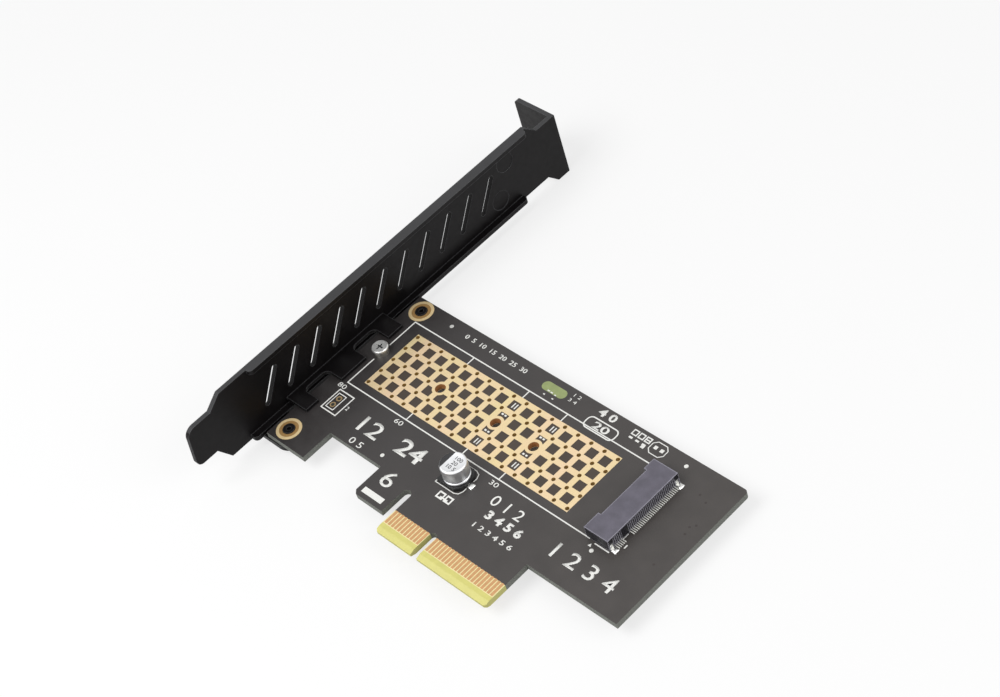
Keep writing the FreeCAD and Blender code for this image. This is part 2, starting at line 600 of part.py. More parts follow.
def make_bracket():
    """The one-piece moulded bracket, in a frame that starts at its inner face."""
    body = new_body("bracket", ("-sizes.key_to_bracket", "0", "0"))
    near = "-sizes.bracket_low"
    far = "(sizes.bracket_width - sizes.bracket_low)"
    top = "sizes.bracket_high"
    tip = "(sizes.bracket_high - sizes.bracket_length)"
    tongue_far = "(sizes.tongue_low + sizes.tongue_width)"
    tab_far = far + " - sizes.tab_shift"
    tab_near = near + " - sizes.tab_shift"
    sketch = new_sketch(body, "face_outline", "YZ_Plane")
    add_polygon(sketch, [
        (top, tab_near),
        (top, tab_far),
        (top + " - sizes.tab_step", tab_far),
        (top + " - sizes.tab_step - sizes.tab_shift", far),
        ("-sizes.shoulder_far", far),
        ("-sizes.shoulder_far - sizes.shoulder_far_run", tongue_far),
        (tip + " + sizes.tongue_slant", tongue_far),
        (tip, "sizes.tongue_low"),
        ("-sizes.shoulder_near - sizes.shoulder_near_run", "sizes.tongue_low"),
        ("-sizes.shoulder_near", near),
        (top + " - sizes.ear_step - sizes.ear_slope", near),
        (top + " - sizes.ear_step", tab_near),
    ])
    face = pad(body, "face", sketch, "sizes.bracket_wall", flip=True)
    corner = edges_through(face, "X", [(tip + " + sizes.tongue_slant", tongue_far)])
    face = dress(body, "Fillet", "tongue_far_corner", face, corner, "sizes.tongue_round")
    corner = edges_through(face, "X", [(tip, "sizes.tongue_low")])
    dress(body, "Fillet", "tongue_near_corner", face, corner, "sizes.tongue_round_near")

    outer = "-(sizes.bracket_wall + sizes.tab_reach)"
    sketch = new_sketch(body, "screw_tab_outline", "XZ_Plane", "-" + top)
    add_rectangle(sketch, outer, "0", tab_near, tab_far)
    tab = pad(body, "screw_tab", sketch, "sizes.bracket_wall")
    corners = edges_through(tab, "Y", [(outer, tab_near), (outer, tab_far)])
    dress(body, "Fillet", "screw_tab_corners", tab, corners, "sizes.tab_round")
    sketch = new_sketch(body, "screw_notch_outline", "XZ_Plane", "-" + top)
    middle = "-(sizes.bracket_wall + sizes.screw_notch_reach)"
    deep = tab_near + " + sizes.screw_notch_depth"
    add_slot(sketch, (middle, deep + " - 2 * sizes.screw_notch_depth"), (middle, deep), "sizes.screw_notch")
    pocket(body, "screw_notch", sketch, "sizes.bracket_wall", flip=True)

    lips = [
        ("far_lip", far + " - sizes.lip_wall", far, "sizes.far_lip"),
        ("near_lip", near, near + " + sizes.lip_wall", "sizes.near_lip"),
    ]
    for name, low, high, rise in lips:
        start = "sizes.%s_low" % name
        end = "sizes.%s_high" % name
        sketch = new_sketch(body, name + "_outline", "YZ_Plane")
        add_rectangle(sketch, start, end, low, high)
        lip = pad(body, name, sketch, rise)
        corners = edges_through(lip, "Z", [(rise, start), (rise, end)])
        dress(body, "Fillet", name + "_ends", lip, corners, "sizes.lip_round")

    sketch = new_sketch(body, "ledge_outline", level=TOP)
    add_rectangle(sketch, "0", "sizes.ledge_reach", "sizes.ledge_low", "sizes.ledge_high")
    pad(body, "ledge", sketch, "sizes.ledge_thick")
    sketch = new_sketch(body, "ledge_gap_outline", level="%s + sizes.ledge_thick" % TOP)
    gaps = ("sizes.module_middle", "(sizes.module_middle - sizes.notch_spacing)")
    for gap in gaps:
        low = gap + " - sizes.notch_width / 2"
        high = gap + " + sizes.notch_width / 2"
        add_rectangle(sketch, "sizes.notch_back", "sizes.ledge_reach + " + PAST, low, high)
    cut = pocket(body, "ledge_gaps", sketch, "sizes.ledge_thick")
    spots = []
    for gap in gaps:
        for side in (" - ", " + "):
            spots.append(("sizes.notch_back", gap + side + "sizes.notch_width / 2"))
    corners = edges_through(cut, "Z", spots)
    dress(body, "Fillet", "ledge_gap_corners", cut, corners, "sizes.notch_round")

    seat = "-" + COPPER_TOP
    for name, height in (("low", "sizes.mount_low"), ("high", "sizes.mount_high")):
        sketch = new_sketch(body, name + "_lug_outline", level=seat)
        low = height + " - sizes.lug_radius"
        high = height + " + sizes.lug_radius"
        add_rectangle(sketch, "0", "sizes.mount_reach", low, high)
        pad(body, name + "_lug", sketch, "sizes.lug_thick", flip=True)
        sketch = new_sketch(body, name + "_lug_end_outline", level=seat)
        add_circle(sketch, "sizes.mount_reach", height, "2 * sizes.lug_radius")
        pad(body, name + "_lug_end", sketch, "sizes.lug_thick", flip=True)
        sketch = new_sketch(body, name + "_pin_outline", level=seat)
        add_circle(sketch, "sizes.mount_reach", height, "sizes.mount_bore - 2 * sizes.pin_clearance")
        pad(body, name + "_pin", sketch, "2 * %s + sizes.pin_rise" % COPPER_TOP)
    sketch = new_sketch(body, "pin_bore_outline")
    for height in ("sizes.mount_low", "sizes.mount_high"):
        add_circle(sketch, "sizes.mount_reach", height, "sizes.pin_bore")
    pocket(body, "pin_bores", sketch, THROUGH, both=True)

    sketch = new_sketch(body, "ejector_outline", "YZ_Plane")
    for mark in ("sizes.ejector_far", "sizes.ejector_near"):
        add_circle(sketch, mark + "_high", mark + "_rise", "sizes.ejector_width")
    pocket(body, "ejector_marks", sketch, "sizes.ejector_depth")

    sketch = new_sketch(body, "vent_outline", "YZ_Plane")
    start = ("sizes.vent_start", "sizes.vent_low")
    end = ("sizes.vent_start + sizes.vent_run", "sizes.vent_low + sizes.vent_rise")
    add_slot(sketch, start, end, "sizes.vent_width")
    vent = pocket(body, "vent", sketch, "sizes.bracket_wall")
    pattern(body, "vents", vent, [("Y_Axis", "sizes.vent_pitch", VENTS, False)])
    return body


SOCKET_PLACE = (MODULE_STOP, "sizes.module_middle", TOP)


def contact_rows():
    """The four runs of socket contacts: row, first contact's middle along Y and count."""
    upper = "sizes.contact_start"
    lower = "sizes.contact_start - sizes.contact_pitch / 2"
    skip = " - %d * sizes.contact_pitch"
    return [
        ("upper_main", upper, UPPER_MAIN),
        ("upper_short", upper + skip % (UPPER_MAIN + KEY_SKIP), UPPER_SHORT),
        ("lower_main", lower, LOWER_MAIN),
        ("lower_short", lower + skip % (LOWER_MAIN + KEY_SKIP), LOWER_SHORT),
    ]


UPPER_LOW = "(sizes.mouth_floor + sizes.mouth_gap)"
UPPER_HIGH = "(sizes.mouth_floor + sizes.mouth_gap + sizes.upper_channel)"
LEG_BACK = "(sizes.socket_rear - sizes.leg_depth)"
GAP = "sizes.contact_clearance"
STRIP = "sizes.contact_strip"


def upper_contact_outline(sketch):
    """Side view of an upper contact: sprung tip, beam, leg down the rear and foot."""
    beam_top = "%s - %s" % (UPPER_HIGH, GAP)
    beam_low = "%s - %s - %s" % (UPPER_HIGH, GAP, STRIP)
    tip = "-sizes.upper_front"
    dip = "%s - sizes.upper_dip" % UPPER_HIGH
    add_polygon(sketch, [
        ("sizes.foot_reach", "0"),
        ("sizes.foot_reach", STRIP),
        ("%s + %s" % (LEG_BACK, STRIP), STRIP),
        ("%s + %s" % (LEG_BACK, STRIP), beam_top),
        ("-(sizes.upper_front - 3 * %s)" % STRIP, beam_top),
        (tip, dip + " - " + STRIP),
        (tip + " + 2 * " + STRIP, dip + " - " + STRIP),
        ("-(sizes.upper_front - 4 * %s)" % STRIP, beam_low),
        (LEG_BACK, beam_low),
        (LEG_BACK, "0"),
    ])


def lower_contact_outline(sketch):
    """Side view of a lower contact: foot, short leg, beam and rising tip."""
    front = "(%s + %s)" % (MOUTH_FRONT, GAP)
    leg = "(%s + 5 * %s)" % (MOUTH_FRONT, STRIP)
    high = "(sizes.lower_beam + %s)" % STRIP
    end = "sizes.lower_end"
    add_polygon(sketch, [
        (front, "0"),
        (leg + " + " + STRIP, "0"),
        (leg + " + " + STRIP, "sizes.lower_beam"),
        (end, "sizes.lower_beam"),
        (end, high),
        ("-4 * " + STRIP, high),
        ("-6 * " + STRIP, "sizes.lower_tip"),
        ("-8 * " + STRIP, "sizes.lower_tip"),
        ("-10 * " + STRIP, high),
        (leg, high),
        (leg, STRIP),
        (front, STRIP),
    ])


def socket_channel_outline(sketch, row):
    """Side view of the channel that holds an upper or a lower contact."""
    rear = "sizes.socket_rear + " + PAST
    if row.startswith("upper"):
        add_polygon(sketch, [
            ("%s - %s" % (LEG_BACK, GAP), "-" + PAST),
            (rear, "-" + PAST),
            (rear, UPPER_HIGH),
            ("-sizes.upper_front - " + GAP, UPPER_HIGH),
            ("-sizes.upper_front - " + GAP, UPPER_LOW + " - " + GAP),
            ("%s - %s" % (LEG_BACK, GAP), UPPER_LOW + " - " + GAP),
        ])
    else:
        front = SOCKET_FRONT + " - " + PAST
        back = "sizes.lower_end + " + GAP
        add_rectangle(sketch, front, back, "-" + PAST, "sizes.mouth_floor + " + GAP)


def row_sketch(body, name, middle):
    """A sketch in the socket's side view, at one contact's middle along Y."""
    return new_sketch(body, name, "XZ_Plane", "-(%s)" % middle)


def make_socket_housing():
    """The moulded socket: mouth with key rib, end ears, contact channels and pegs."""
    body = new_body("m2_socket_housing", SOCKET_PLACE)
    half = "sizes.socket_length / 2"
    sketch = new_sketch(body, "block_outline")
    add_rectangle(sketch, SOCKET_FRONT, "sizes.socket_rear", "-" + half, half)
    pad(body, "block", sketch, "sizes.socket_tall")
    sketch = new_sketch(body, "recess_outline", level="sizes.socket_tall")
    beyond = "%s - %s" % (SOCKET_FRONT, PAST)
    add_rectangle(sketch, beyond, MOUTH_FRONT, "-sizes.recess_low", "sizes.recess_high")
    pocket(body, "recess", sketch, THROUGH)

    sketch = new_sketch(body, "mouth_outline", "YZ_Plane", "sizes.mouth_clearance")
    high = UPPER_LOW
    rib_near = "-sizes.rib_middle - sizes.rib_width / 2"
    rib_far = "-sizes.rib_middle + sizes.rib_width / 2"
    add_rectangle(sketch, "-sizes.mouth_width / 2", rib_near, "sizes.mouth_floor", high)
    add_rectangle(sketch, rib_far, "sizes.mouth_width / 2", "sizes.mouth_floor", high)
    pocket(body, "mouth", sketch, THROUGH)

    for row, middle, count in contact_rows():
        sketch = row_sketch(body, row + "_channel_outline", middle)
        socket_channel_outline(sketch, row)
        channel = pocket(body, row + "_channel", sketch, "sizes.contact_width + 2 * " + GAP, both=True)
        step = ("Y_Axis", "sizes.contact_pitch", count, True)
        pattern(body, row + "_channels", channel, [step])
    for name, side in (("near", "-"), ("far", "")):
        sketch = row_sketch(body, name + "_clip_seat_outline", side + "sizes.clip_middle")
        back = "%s - %s" % (LEG_BACK, GAP)
        high = "sizes.clip_tall + " + GAP
        add_rectangle(sketch, back, "sizes.socket_rear + " + PAST, "-" + PAST, high)
        pocket(body, name + "_clip_seat", sketch, "sizes.clip_width + 2 * " + GAP, both=True)
        sketch = new_sketch(body, name + "_peg_outline")
        add_circle(sketch, "0", side + "sizes.peg_middle", "sizes.peg_width")
        pad(body, name + "_peg", sketch, "sizes.peg_length", flip=True)
    return body


def make_socket_contacts(label, prefix, outline):
    """One row of socket contacts, each a strip bent to the same side view."""
    body = new_body(label, SOCKET_PLACE, several=True)
    for row, middle, count in contact_rows():
        if row.startswith(prefix):
            sketch = row_sketch(body, row + "_outline", middle)
            outline(sketch)
            contact = pad(body, row + "_contact", sketch, "sizes.contact_width", both=True)
            step = ("Y_Axis", "sizes.contact_pitch", count, True)
            pattern(body, row + "_contacts", contact, [step])
    return body


def make_socket_clips():
    """The two soldered clips that hold the socket down at its rear corners."""
    body = new_body("m2_socket_clips", SOCKET_PLACE, several=True)
    for name, side in (("near", "-"), ("far", "")):
        sketch = row_sketch(body, name + "_clip_outline", side + "sizes.clip_middle")
        leg = "%s + sizes.clip_sheet" % LEG_BACK
        add_polygon(sketch, [
            (LEG_BACK, "0"),
            ("sizes.foot_reach", "0"),
            ("sizes.foot_reach", "sizes.clip_sheet"),
            (leg, "sizes.clip_sheet"),
            (leg, "sizes.clip_tall"),
            (LEG_BACK, "sizes.clip_tall"),
        ])
        pad(body, name + "_clip", sketch, "sizes.clip_width", both=True)
    return body


LONG_PLACE = LONG_HOLE + (TOP,)


def make_screw_seat():
    """The threaded seat at the longest module's screw: collar and board spigot."""
    body = new_body("m2_screw_seat", LONG_PLACE)
    bore = "sizes.thread_width / 2 + sizes.thread_clearance"
    spigot = "sizes.screw_bore / 2 - sizes.seat_clearance"
    sketch = new_sketch(body, "seat_outline", "XZ_Plane")
    add_polygon(sketch, [
        (bore, "-sizes.board_thick"),
        (spigot, "-sizes.board_thick"),
        (spigot, "0"),
        ("sizes.seat_width / 2", "0"),
        ("sizes.seat_width / 2", "sizes.module_lift"),
        (bore, "sizes.module_lift"),
    ])
    revolve(body, "seat", sketch)
    return body


def make_screw():
    """The module screw: thread core, low round head and cross recess."""
    body = new_body("m2_screw", LONG_PLACE)
    lift = "sizes.module_lift"
    sketch = new_sketch(body, "screw_outline", "XZ_Plane")
    bevel = "sizes.head_tall / 3"
    add_polygon(sketch, [
        ("0", lift + " - sizes.screw_length"),
        ("sizes.thread_width / 2 - " + bevel, lift + " - sizes.screw_length"),
        ("sizes.thread_width / 2", lift + " - sizes.screw_length + " + bevel),
        ("sizes.thread_width / 2", lift),
        ("sizes.head_width / 2", lift),
        ("sizes.head_width / 2", lift + " + 2 * " + bevel),
        ("sizes.head_width / 2 - " + bevel, lift + " + sizes.head_tall"),
        ("0", lift + " + sizes.head_tall"),
    ])
    revolve(body, "screw", sketch)
    for name, width, length in (
        ("cross_one", "sizes.cross_length / 2", "sizes.cross_width / 2"),
        ("cross_two", "sizes.cross_width / 2", "sizes.cross_length / 2"),
    ):
        sketch = new_sketch(body, name + "_outline", level=lift + " + sizes.head_tall")
        add_rectangle(sketch, "-" + width, width, "-" + length, length)
        pocket(body, name, sketch, "sizes.cross_depth")
    return body


CAN_PLACE = ("-sizes.can_left", "sizes.can_low", TOP)


def make_capacitor_can():
    """The drawn can with its crimped neck and bevelled top edge."""
    body = new_body("capacitor_can", CAN_PLACE)
    radius = "sizes.can_width / 2"
    waist = "(sizes.can_width / 2 - sizes.can_neck)"
    neck = "(sizes.base_thick + sizes.can_neck_low)"
    sketch = new_sketch(body, "can_outline", "XZ_Plane")
    add_polygon(sketch, [
        ("0", "sizes.base_thick"),
        (waist, "sizes.base_thick"),
        (radius, "sizes.base_thick + sizes.can_neck"),
        (radius, neck + " - sizes.can_neck"),
        (waist, neck),
        (radius, neck + " + sizes.can_neck"),
        (radius, "sizes.can_tall - sizes.can_bevel"),
        (radius + " - sizes.can_bevel", "sizes.can_tall"),
        ("0", "sizes.can_tall"),
    ])
    revolve(body, "can", sketch)
    return body


def make_capacitor_base():
    """The plastic base with its two cut corners and the channels for the leads."""
    body = new_body("capacitor_base", CAN_PLACE)
    half = "sizes.base_width / 2"
    cut = "(sizes.base_width / 2 - sizes.base_corner)"
    sketch = new_sketch(body, "base_outline")
    add_polygon(sketch, [
        (half, "-" + half),
        (half, half),
        ("-" + cut, half),
        ("-" + half, cut),
        ("-" + half, "-" + cut),
        ("-" + cut, "-" + half),
    ])
    pad(body, "base", sketch, "sizes.base_thick")
    slack = "sizes.lead_clearance"
    for name, sign in (("plus", "-"), ("minus", "")):
        sketch = new_sketch(body, name + "_channel_outline", "XZ_Plane")
        root = "%s(sizes.lead_root - %s)" % (sign, slack)
        riser = "%s(sizes.lead_root + sizes.lead_sheet + %s)" % (sign, slack)
        outer = "%s(sizes.base_width / 2 + %s)" % (sign, PAST)
        roof = "sizes.lead_sheet + " + slack
        beyond = "sizes.base_thick + " + PAST
        low = "-" + PAST
        corners = [(root, low), (outer, low), (outer, roof)]
        corners += [(riser, roof), (riser, beyond), (root, beyond)]
        add_polygon(sketch, corners)
        pocket(body, name + "_channel", sketch, "sizes.lead_width + 2 * " + slack, both=True)
    return body


def make_capacitor_leads():
    """The two flat leads: each runs out under the base and rises to the can."""
    body = new_body("capacitor_leads", CAN_PLACE, several=True)
    for name, sign in (("plus", "-"), ("minus", "")):
        sketch = new_sketch(body, name + "_lead_outline", "XZ_Plane")
        root = sign + "sizes.lead_root"
        riser = "%s(sizes.lead_root + sizes.lead_sheet)" % sign
        reach = sign + "sizes.lead_reach"
        sheet_top = "sizes.lead_sheet"
        high = "sizes.base_thick"
        corners = [(root, "0"), (reach, "0"), (reach, sheet_top)]
        corners += [(riser, sheet_top), (riser, high), (root, high)]
        add_polygon(sketch, corners)
        pad(body, name + "_lead", sketch, "sizes.lead_width", both=True)
    return body


def make_lamp():
    """The small lamp on the solder side: flat base and a tapered lens."""
    body = new_body("status_lamp", ("-sizes.lamp_left", "sizes.lamp_low", "-" + TOP))
    sketch = new_sketch(body, "base_outline")
    length = "sizes.lamp_length / 2"
    width = "sizes.lamp_width / 2"
    add_rectangle(sketch, "-" + length, length, "-" + width, width)
    pad(body, "base", sketch, "sizes.lamp_base", flip=True)
    sketch = new_sketch(body, "lens_outline", "XZ_Plane")
    wide = "sizes.lens_length / 2"
    narrow = "(sizes.lens_length / 2 - sizes.lens_draft)"
    low = "-(sizes.lamp_base + sizes.lens_tall)"
    high = "-sizes.lamp_base"
    add_polygon(sketch, [("-" + wide, high), (wide, high), (narrow, low), ("-" + narrow, low)])
    pad(body, "lens", sketch, "sizes.lamp_width - 2 * sizes.lens_draft", both=True)
    return body


def make_resistor():
    """The lamp's resistor: a thin slab with a metal cap on each end."""
    place = ("-sizes.lamp_left + sizes.resistor_offset", "sizes.lamp_low", "-" + TOP)
    body = new_body("lamp_resistor", place)
    half = "sizes.resistor_length / 2"
    side = "sizes.resistor_width / 2"
    rise = "sizes.resistor_cap_rise"
    sketch = new_sketch(body, "slab_outline")
    add_rectangle(sketch, "-" + half, half, "-" + side, side)
    pad(body, "slab", sketch, "sizes.resistor_tall", flip=True)
    sketch = new_sketch(body, "cap_outline")
    inner = "(sizes.resistor_length / 2 - sizes.resistor_cap)"
    outer = "(sizes.resistor_length / 2 + %s)" % rise
    wide = "(sizes.resistor_width / 2 + %s)" % rise
    add_rectangle(sketch, "-" + outer, "-" + inner, "-" + wide, wide)
    add_rectangle(sketch, inner, outer, "-" + wide, wide)
    pad(body, "caps", sketch, "sizes.resistor_tall + " + rise, flip=True)
    return body


free_edge_dots = "sizes.board_high - sizes.dot_inset"
socket_end = "sizes.module_middle - sizes.socket_length / 2"
target_dots = [
    ("disc", "-sizes.corner_dot_left", free_edge_dots, "sizes.dot_width"),
    ("disc", "-sizes.hook_dot_left", "sizes.board_low + sizes.hook_dot_rise", "sizes.dot_width"),
    ("disc", MODULE_STOP + " + sizes.socket_dot_shift", free_edge_dots, "sizes.dot_width"),
    ("disc", MODULE_STOP, socket_end + " - sizes.socket_dot_drop", "sizes.dot_width"),
]
pair_start = MODULE_STOP + " - sizes.pad_pair_left"
pair_row = "sizes.board_high - sizes.pad_inset"
test_pad = (MODULE_STOP + " - sizes.test_pad_left", "sizes.board_high - sizes.test_pad_inset")
solder_pads = [
    ("square", test_pad[0], test_pad[1], "sizes.pad_width"),
    ("square", pair_start, pair_row, "sizes.pad_width"),
    ("square", pair_start + " + sizes.pad_pair_pitch", pair_row, "sizes.pad_width"),
]
bodies = [
    make_circuit_board(),
    make_bracket(),
    make_edge_contacts("edge_contacts_top", 1),
    make_edge_contacts("edge_contacts_bottom", -1),
    make_heat_copper(),
    make_hole_rings("screw_hole_rings", SCREW_HOLES, "sizes.screw_bore", "sizes.ring_width", FACES[1:]),
    make_hole_rings("pin_hole_rings", PIN_HOLES, "sizes.mount_bore", "sizes.mount_ring"),
    make_hole_rings("header_hole_rings", HEADER_HOLES, "sizes.header_bore", "sizes.header_ring"),
    make_flat_pads("camera_target_dots", target_dots),
    make_flat_pads("bare_solder_pads", solder_pads),
    make_socket_housing(),
    make_socket_contacts("m2_socket_upper_contacts", "upper", upper_contact_outline),
    make_socket_contacts("m2_socket_lower_contacts", "lower", lower_contact_outline),
    make_socket_clips(),
    make_screw_seat(),
    make_screw(),
    make_capacitor_can(),
    make_capacitor_base(),
    make_capacitor_leads(),
    make_lamp(),
    make_resistor(),
]
doc.recompute()


def check_document():
    """Stop before anything is written if an object failed or a cut missed."""
    for item in doc.Objects:
        if "Invalid" in item.State or "Error" in item.State:
            raise RuntimeError(item.Name + " failed")
        if item.TypeId == "PartDesign::Pocket":
            if item.Shape.Volume >= item.BaseFeature.Shape.Volume:
                raise RuntimeError(item.Name + " cuts nothing")
    for body in bodies:
        if body.Shape.isNull() or not body.Shape.isValid():
            raise RuntimeError(body.Label + " has no valid shape")


check_document()
os.makedirs("parts", exist_ok=True)
for body in bodies:
    body.Shape.exportStep("parts/%s.step" % body.Label)
    print("%-26s %3d solids, %7.2f mm3" % (body.Label, len(body.Shape.Solids), body.Shape.Volume))
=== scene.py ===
import bmesh
import bpy
import math
from mathutils import Euler, Matrix, Vector


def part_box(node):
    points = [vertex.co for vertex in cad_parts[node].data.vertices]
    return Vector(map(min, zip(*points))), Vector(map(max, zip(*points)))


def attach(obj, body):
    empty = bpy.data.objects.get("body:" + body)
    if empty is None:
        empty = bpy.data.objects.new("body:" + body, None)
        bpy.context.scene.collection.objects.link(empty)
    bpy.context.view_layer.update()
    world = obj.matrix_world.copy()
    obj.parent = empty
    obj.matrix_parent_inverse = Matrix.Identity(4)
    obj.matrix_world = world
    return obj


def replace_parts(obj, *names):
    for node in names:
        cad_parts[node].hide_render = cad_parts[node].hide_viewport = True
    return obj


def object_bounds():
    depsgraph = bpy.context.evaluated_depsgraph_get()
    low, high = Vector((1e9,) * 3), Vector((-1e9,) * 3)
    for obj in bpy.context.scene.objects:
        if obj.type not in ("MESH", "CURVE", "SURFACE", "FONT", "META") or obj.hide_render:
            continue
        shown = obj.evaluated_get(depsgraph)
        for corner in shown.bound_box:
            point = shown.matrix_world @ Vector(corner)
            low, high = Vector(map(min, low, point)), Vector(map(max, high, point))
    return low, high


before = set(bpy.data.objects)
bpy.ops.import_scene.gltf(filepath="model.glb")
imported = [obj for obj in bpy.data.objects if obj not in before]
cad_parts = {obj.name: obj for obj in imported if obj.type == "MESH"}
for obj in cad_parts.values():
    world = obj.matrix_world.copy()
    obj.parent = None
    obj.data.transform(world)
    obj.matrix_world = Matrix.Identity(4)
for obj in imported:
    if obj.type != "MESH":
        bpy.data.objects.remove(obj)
cad_box = [list(corner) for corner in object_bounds()]
MM = 0.001

# Levels and places read from the frame, in millimetres.
BOARD_LOW, BOARD_HIGH = [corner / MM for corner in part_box("circuit_board")]
FIELD_LOW, FIELD_HIGH = [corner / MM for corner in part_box("heat_spread_copper")]
SCREW_LOW, SCREW_HIGH = [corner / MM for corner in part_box("m2_screw")]
SOCKET_LOW, SOCKET_HIGH = [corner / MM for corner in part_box("m2_socket_housing")]
CAN_LOW, CAN_HIGH = [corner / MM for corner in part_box("capacitor_can")]
HEADER_LOW, HEADER_HIGH = [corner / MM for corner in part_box("header_hole_rings")]
PINS_LOW, PINS_HIGH = [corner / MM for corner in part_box("pin_hole_rings")]
FINGERS_LOW, FINGERS_HIGH = [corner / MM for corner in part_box("edge_contacts_top")]
RESISTOR_LOW, RESISTOR_HIGH = [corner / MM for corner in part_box("lamp_resistor")]
LAMP_LOW, LAMP_HIGH = [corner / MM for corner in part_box("status_lamp")]
BOARD_TOP = BOARD_HIGH.z
MODULE_Y = (SCREW_LOW.y + SCREW_HIGH.y) / 2
LONG_X = (SCREW_LOW.x + SCREW_HIGH.x) / 2
CAN_MIDDLE = (CAN_LOW + CAN_HIGH) / 2

# From the longest module's screw to the shorter ones', and the low edge of the board's wide part.
SHORT_STEPS = (20.0, 38.0, 50.0)
BOARD_BODY_LOW = 12.75

# Heat holes: a lattice through the copper field and the board.
HEAT_PITCH = 4.0
HEAT_RADIUS = 0.5
HEAT_INSET = (0.6, 0.75)
HEAT_COLUMNS = 17
HEAT_ROWS = 5
HEAT_KEEP_OUT = 2.6
HOLE_SIDES = 28
SAME_PLACE = 0.001

# White print on the board: its film, the lift of each stroke over the last, and its lines.
PRINT_LIFT = 0.012
PRINT_THICK = 0.012
STROKE_LIFT = 0.0004
THIN_LINE = 0.22
FRAME_LINE = 0.3
THICK_LINE = 0.4
CORNER_STEPS = 8
DIGIT_SHARE = 0.7
DIGIT_CURVE_STEPS = 3


def srgb(red, green, blue):
    """A colour given in display values from 0 to 255, as linear light."""
    linear = []
    for part in (red, green, blue):
        value = part / 255
        linear.append(value / 12.92 if value <= 0.04045 else ((value + 0.055) / 1.055) ** 2.4)
    return (*linear, 1.0)


# Short names for a shader's inputs, and how noise and edges are read.
SOCKETS = {
    "metallic": "Metallic",
    "roughness": "Roughness",
    "shine": "Specular IOR Level",
    "clear": "Transmission Weight",
}
NOISE_LOW = 0.3
NOISE_HIGH = 0.7
EDGE_SAMPLES = 4
EDGE_GAIN = 6.0
BAND_TURN = 35
BAND_STRETCH = 0.25


class Tree:
    """The node tree of a material or the world, with short calls for what both use."""

    def __init__(self, owner):
        owner.use_nodes = True
        self.nodes = owner.node_tree.nodes
        self.links = owner.node_tree.links

    def put(self, socket, value):
        """Link or set one input."""
        if isinstance(value, bpy.types.NodeSocket):
            self.links.new(value, socket)
        else:
            socket.default_value = value

    def math(self, operation, first, second=0.0):
        """One sum between two sockets, or a socket and a number."""
        node = self.nodes.new("ShaderNodeMath")
        node.operation = operation
        self.put(node.inputs[0], first)
        self.put(node.inputs[1], second)
        return node.outputs[0]

    def blend(self, factor, first, second):
        """A mix of two shaders."""
        node = self.nodes.new("ShaderNodeMixShader")
        for socket, value in zip(node.inputs, (factor, first, second)):
            self.put(socket, value)
        return node.outputs[0]

    def ray_kinds(self):
        """1 for camera rays, and 1 for rays that a glossy or clear surface sends on."""
        path = self.nodes.new("ShaderNodeLightPath").outputs
        mirrored = self.math("MAXIMUM", path["Is Glossy Ray"], path["Is Transmission Ray"])
        return path["Is Camera Ray"], mirrored


